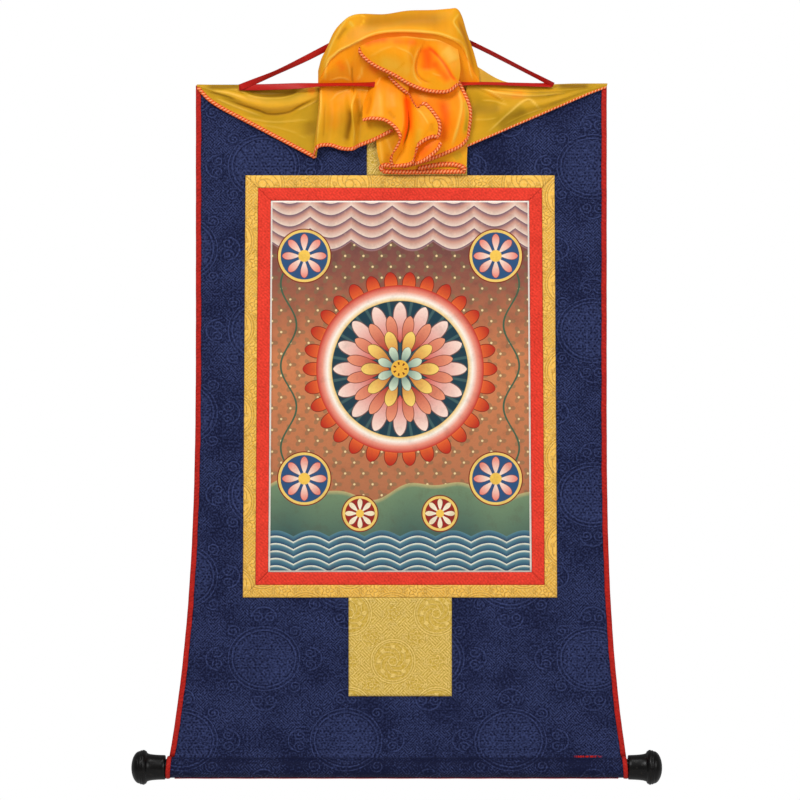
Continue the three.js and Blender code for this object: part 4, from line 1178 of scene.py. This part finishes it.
class SCROLL_OT_strips(bpy.types.Operator):
    """Gold and red strips, mitred around the picture"""

    bl_idname = "scroll.strips"
    bl_label = "Mitred strips"

    # How far each strip stops short of the mitre.
    MITRE_GAP = 0.05

    def execute(self, context):
        sizes, colours = context.scene.scroll_sizes, context.scene.scroll_colours
        gold = gold_brocade("gold_strips", colours.gold, colours, 0.0)
        red = red_silk("red_strips", "red_silk", colours.red)
        self.add_four(sizes, "gold", gold, 0.0, GOLD_WIDTH)
        self.add_four(sizes, "red", red, GOLD_WIDTH + GAP, RED_WIDTH)
        return {"FINISHED"}

    def add_four(self, sizes, prefix, finish, inset, width):
        outside, inside = frame_corners(inset), frame_corners(inset + width)
        for i, side in enumerate(("top", "right", "bottom", "left")):
            following = (i + 1) % 4
            run = (outside[following] - outside[i]).normalized() * self.MITRE_GAP
            corners = [outside[i] + run, outside[following] - run, inside[following] - run, inside[i] + run]
            upright = side in ("left", "right")

            def uv(point, upright=upright):
                return (point.y * MM, point.x * MM) if upright else (point.x * MM, point.y * MM)

            mesh = new_cloth()
            lay_sewn(mesh, sizes, corners, 12, 120, uv, swell=0.4, tuck=0.12, ends=0.0)
            piece = keep(mesh, f"{prefix}_strip_{side}", finish, [f"{prefix}_{side}"], thickness=0.6)


class SCROLL_OT_painting(bpy.types.Operator):
    """Painted cotton inside the strips"""

    bl_idname = "scroll.painting"
    bl_label = "Painting"

    def execute(self, context):
        sizes = context.scene.scroll_sizes
        finish = lotus_painting(context.scene.scroll_colours)
        corners = frame_corners(GOLD_WIDTH + RED_WIDTH + 2 * GAP)
        middle_z = (FRAME_TOP + FRAME_BOTTOM) / 2
        mesh = new_cloth()
        lay_sewn(
            mesh, sizes, corners, 60, 48, lambda point: (point.x * MM, (point.y - middle_z) * MM),
            swell=0.2, tuck=0.02,
        )
        piece = keep(mesh, "lotus_picture", finish, ["painting"], thickness=0.7)
        return {"FINISHED"}


class SCROLL_OT_patches(bpy.types.Operator):
    """Gold brocade patches above and below the picture"""

    bl_idname = "scroll.patches"
    bl_label = "Gold patches"

    def execute(self, context):
        sizes, colours = context.scene.scroll_sizes, context.scene.scroll_colours
        finish = gold_brocade("gold_patches", colours.patch_gold, colours, 0.5)
        for name, (left, right, top, bottom) in PATCHES.items():
            corners = [Vector(c) for c in ((left, top), (right, top), (right, bottom), (left, bottom))]
            mesh = new_cloth()
            lay_sewn(mesh, sizes, corners, 40, 40, lambda point: (point.x * MM, -point.y * MM), tuck=0.03)
            piece = keep(mesh, f"gold_{name}", finish, [name], thickness=0.6)
        return {"FINISHED"}


class SCROLL_OT_roller(bpy.types.Operator):
    """Turned black knobs, and the lacquer of the rod"""

    bl_idname = "scroll.roller"
    bl_label = "Roller"

    # Profile of a knob: radius, and distance from the inner face of its neck.
    PROFILE = [
        (0.0, 0.0), (13.4, 0.0), (14.0, 0.5), (14.1, 4.0), (14.3, 9.0), (14.7, 14.0), (15.2, 17.5), (15.9, 20.0),
        (16.6, 21.0), (17.9, 21.5), (18.7, 22.2), (19.2, 23.2), (19.5, 23.6), (19.9, 24.3), (20.0, 25.1), (19.9, 25.9),
        (19.5, 26.5), (19.2, 26.8), (19.45, 27.3), (19.5, 27.9), (19.3, 28.5), (18.9, 28.9),
    ]
    DOME = (18.6, 29.2, 39.0)

    def execute(self, context):
        finish = black_lacquer(context.scene.scroll_colours)
        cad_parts["rod"].data.materials.clear()
        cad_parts["rod"].data.materials.append(finish.material)
        self.add_knob(context.scene.scroll_sizes, finish, "knob_left", -1, ROLL_LEFT - KNOB_REACH)
        self.add_knob(context.scene.scroll_sizes, finish, "knob_right", 1, ROLL_RIGHT + KNOB_REACH)
        return {"FINISHED"}

    def add_knob(self, sizes, finish, node, side, face_x):
        radius, start, end = self.DOME
        profile = list(self.PROFILE)
        for i in range(13):
            turn = math.pi / 2 * i / 12
            profile.append((radius * math.cos(turn) if i < 12 else 0.0, start + (end - start) * math.sin(turn)))
        mesh = bmesh.new()
        points = [mesh.verts.new(((face_x + side * along) * MM, 0.0, (ROLL_Z + r) * MM)) for r, along in profile]
        edges = [mesh.edges.new(pair) for pair in zip(points, points[1:])]
        bmesh.ops.spin(
            mesh, geom=points + edges, cent=(0.0, 0.0, ROLL_Z * MM), axis=(1.0, 0.0, 0.0), angle=2 * math.pi,
            steps=sizes.knob_sides, use_merge=True,
        )
        bmesh.ops.remove_doubles(mesh, verts=mesh.verts, dist=1e-6)
        bmesh.ops.recalc_face_normals(mesh, faces=mesh.faces)
        for face in mesh.faces:
            face.smooth = True
        keep(mesh, node + "_turned", finish, [node])


def puff_section(x, crest, lip, lip_out, tuck_out):
    """One section of the puff: up the back, over the crest, down the brow to the lip, and tucked in to the tie."""
    back_out, pinch_out = 5.2, 9.0
    return [
        (x, 2.0, back_out), (x, -0.55 * crest, back_out), (x, -crest, 0.42 * lip_out + 3.0),
        (x, -(lip + 0.6 * (crest - lip)), 0.86 * lip_out), (x, -lip, lip_out),
        (x, -(0.93 * lip - 1.0), lip_out - 0.1 * (lip_out - 8.0)), (x, -0.5 * lip, tuck_out), (x, 1.0, pinch_out),
    ]


class SCROLL_OT_veil(bpy.types.Operator):
    """Saffron silk veil gathered over the tie, with its overlocked hem"""

    bl_idname = "scroll.veil"
    bl_label = "Veil"

    # Lobe: fold lines, strokes, points across and along, painted depth of colour along it, hemmed sides, and the share
    # of its full width that the hem has.
    LOBES = [
        (LEFT_SWAG, LEFT_SWAG_STROKES, 80, 110, (0.30, 0.31, 0.32, 0.30), ("last",), 1.05),
        (RIGHT_SWAG, RIGHT_SWAG_STROKES, 80, 110, (0.28, 0.31, 0.34, 0.36), ("last",), 0.55),
        (SKIRT, SKIRT_STROKES, 90, 70, (0.58, 0.47, 0.38), ("end",), 1.0),
        (
            [puff_section(*row) for row in PUFF], PUFF_STROKES, 130, 130,
            (0.45, 0.45, 0.47, 0.46, 0.5, 0.6, 0.57, 0.6), (), 1.0,
        ),
        (FLAP, FLAP_STROKES, 90, 70, (0.85, 0.6, 0.52, 0.52), ("end",), 1.0),
        (TUCK, TUCK_STROKES, 24, 20, (0.7, 0.6, 0.58), ("end",), 1.0),
        (TAIL_LEFT, TAIL_LEFT_STROKES, 80, 80, (0.62, 0.6, 0.57, 0.56), ("end",), 1.0),
        (TAIL_FRONT, TAIL_FRONT_STROKES, 70, 80, (0.66, 0.58, 0.52, 0.55), ("end", "last"), 1.0),
        (TAIL_CURL, TAIL_CURL_STROKES, 40, 20, (0.8, 0.76, 0.74), ("end",), 1.0),
        (TAIL_RIGHT, TAIL_RIGHT_STROKES, 70, 80, (0.7, 0.68, 0.64, 0.56), ("end", "last"), 1.0),
        (TAIL_BASE, TAIL_BASE_STROKES, 70, 60, (0.6, 0.56, 0.5, 0.46), ("end",), 1.3),
    ]

    # Width of the veil where it is sewn on, in metres, and the rows of turned hem.
    SEWN_WIDTH = 0.475
    TURNED_STEPS, TURNED_SHARE = 40, 1.3

    def execute(self, context):
        sizes, colours = context.scene.scroll_sizes, context.scene.scroll_colours
        mesh = new_cloth()
        light = mesh.verts.layers.float.new("light")
        depth = mesh.verts.layers.float["depth"]
        hems = []
        for lobe in self.LOBES:
            hems += self.add_lobe(mesh, depth, light, *lobe)
        for row in TURNED_HEMS:
            knots = [hang(*spot) for spot in row]
            points = [smooth_point(knots, i / self.TURNED_STEPS) for i in range(self.TURNED_STEPS + 1)]
            hems.append((points, [TO_VIEWER] * len(points), self.TURNED_SHARE))
        area = sum(face.calc_area() for face in mesh.faces)
        veil = keep(mesh, "silk_veil", veil_silk(colours), ["veil"])
        hem_mesh = new_cloth()
        for points, normals, share in hems:
            lay_tube(hem_mesh, points, normals, sizes.hem_width / 2 * share, sizes.hem_thickness / 2)
        bmesh.ops.recalc_face_normals(hem_mesh, faces=hem_mesh.faces)
        hem = keep(hem_mesh, "veil_hem", overlock_thread(colours, sizes.stitch_pitch), [])
        flat_size = (self.SEWN_WIDTH, area / self.SEWN_WIDTH)
        return {"FINISHED"}

    def add_lobe(self, mesh, depth, light, lines, strokes, across, along, tones, hemmed, hem_share):
        """Adds one lobe of the veil and returns its hemmed edges as points, normals and share of the hem's width."""
        knots = [[hang(*spot) for spot in line] for line in lines]
        length = sum((a - b).length for a, b in zip(knots[len(knots) // 2], knots[len(knots) // 2][1:]))
        middle = [line[len(line) // 2] for line in knots]
        width = sum((a - b).length for a, b in zip(middle, middle[1:]))
        rows = {}

        def place(u, v):
            if v not in rows:
                rows[v] = [smooth_point(line, v) for line in knots]
            return smooth_point(rows[v], u)

        columns = lay_grid(mesh, across, along, place, lambda u, v: (u * width, v * length), TO_VIEWER)
        mesh.normal_update()
        verts = [vert for column in columns for vert in column]
        height, painted_depth_change, painted_light_change = self.work_strokes(verts, strokes)
        # Each point's painted depth of colour and painted light, from the lobe's tones and the strokes.
        tone_line = [Vector((tone, 0)) for tone in tones]
        for i, vert in enumerate(verts):
            vert.co += vert.normal * (height[i] * MM)
            vert[depth] = smooth_point(tone_line, (i % (along + 1)) / along).x + painted_depth_change[i]
            vert[light] = painted_light_change[i]
        edges = []
        if "last" in hemmed:
            edges.append(columns[-1])
        if "end" in hemmed:
            edges.append([column[-1] for column in columns])
        return [([vert.co.copy() for vert in edge], [vert.normal.copy() for vert in edge], hem_share) for edge in edges]

    def work_strokes(self, verts, strokes):
        """Height, painted depth of colour and painted light that the strokes give each point, by how near it passes as
        seen from the front.
        """
        spots = np.array([vert.co for vert in verts])
        nearer = CAMERA_DISTANCE / (CAMERA_DISTANCE + spots[:, 1])
        seen_z = CAMERA_Z + (spots[:, 2] - CAMERA_Z) * nearer
        seen = np.stack([spots[:, 0] * nearer / MM, PANEL_TOP - seen_z / MM], axis=1)
        totals = np.zeros((3, len(verts)))
        for half, height, painted_depth_change, painted_light_change, route in strokes:
            route = [Vector(spot) for spot in route]
            steps = 6 * (len(route) - 1)
            line = np.array([smooth_point(route, i / steps) for i in range(steps + 1)])
            best = np.full(len(verts), 1e9)
            along = np.zeros(len(verts))
            for i in range(steps):
                way = line[i + 1] - line[i]
                share = np.clip((seen - line[i]) @ way / (way @ way), 0, 1)
                gap = np.linalg.norm(seen - line[i] - share[:, None] * way, axis=1)
                along = np.where(gap < best, (i + share) / steps, along)
                best = np.minimum(gap, best)
            fade = np.clip(0.2 + 5 * np.minimum(along, 1 - along), 0, 1)
            totals += np.outer((height, painted_depth_change, painted_light_change), fade * np.exp(-((best / half) ** 2)))
        return totals


PIECES = [
    SCROLL_OT_stage, SCROLL_OT_ribbons, SCROLL_OT_panel, SCROLL_OT_bindings, SCROLL_OT_strips, SCROLL_OT_painting,
    SCROLL_OT_patches, SCROLL_OT_roller, SCROLL_OT_veil,
]


class SCROLL_PT_pieces(bpy.types.Panel):
    """Lists the scroll's pieces, sizes and colours"""

    bl_idname = "SCROLL_PT_pieces"
    bl_label = "Thangka scroll"
    bl_space_type = "VIEW_3D"
    bl_region_type = "UI"
    bl_category = "Scroll"

    def draw(self, context):
        for piece in PIECES:
            self.layout.operator(piece.bl_idname)
        for group in (context.scene.scroll_sizes, context.scene.scroll_colours):
            for name in group.__annotations__:
                self.layout.prop(group, name)


CLASSES = [ScrollSizes, ScrollColours, *PIECES, SCROLL_PT_pieces]


def register():
    for made in CLASSES:
        bpy.utils.register_class(made)
    bpy.types.Scene.scroll_sizes = PointerProperty(type=ScrollSizes)
    bpy.types.Scene.scroll_colours = PointerProperty(type=ScrollColours)


def unregister():
    del bpy.types.Scene.scroll_colours
    del bpy.types.Scene.scroll_sizes
    for made in reversed(CLASSES):
        bpy.utils.unregister_class(made)


def main():
    register()
    bpy.ops.scroll.stage()
    bpy.ops.scroll.ribbons()
    bpy.ops.scroll.panel()
    bpy.ops.scroll.bindings()
    bpy.ops.scroll.strips()
    bpy.ops.scroll.painting()
    bpy.ops.scroll.patches()
    bpy.ops.scroll.roller()
    bpy.ops.scroll.veil()


if __name__ == "__main__":
    main()
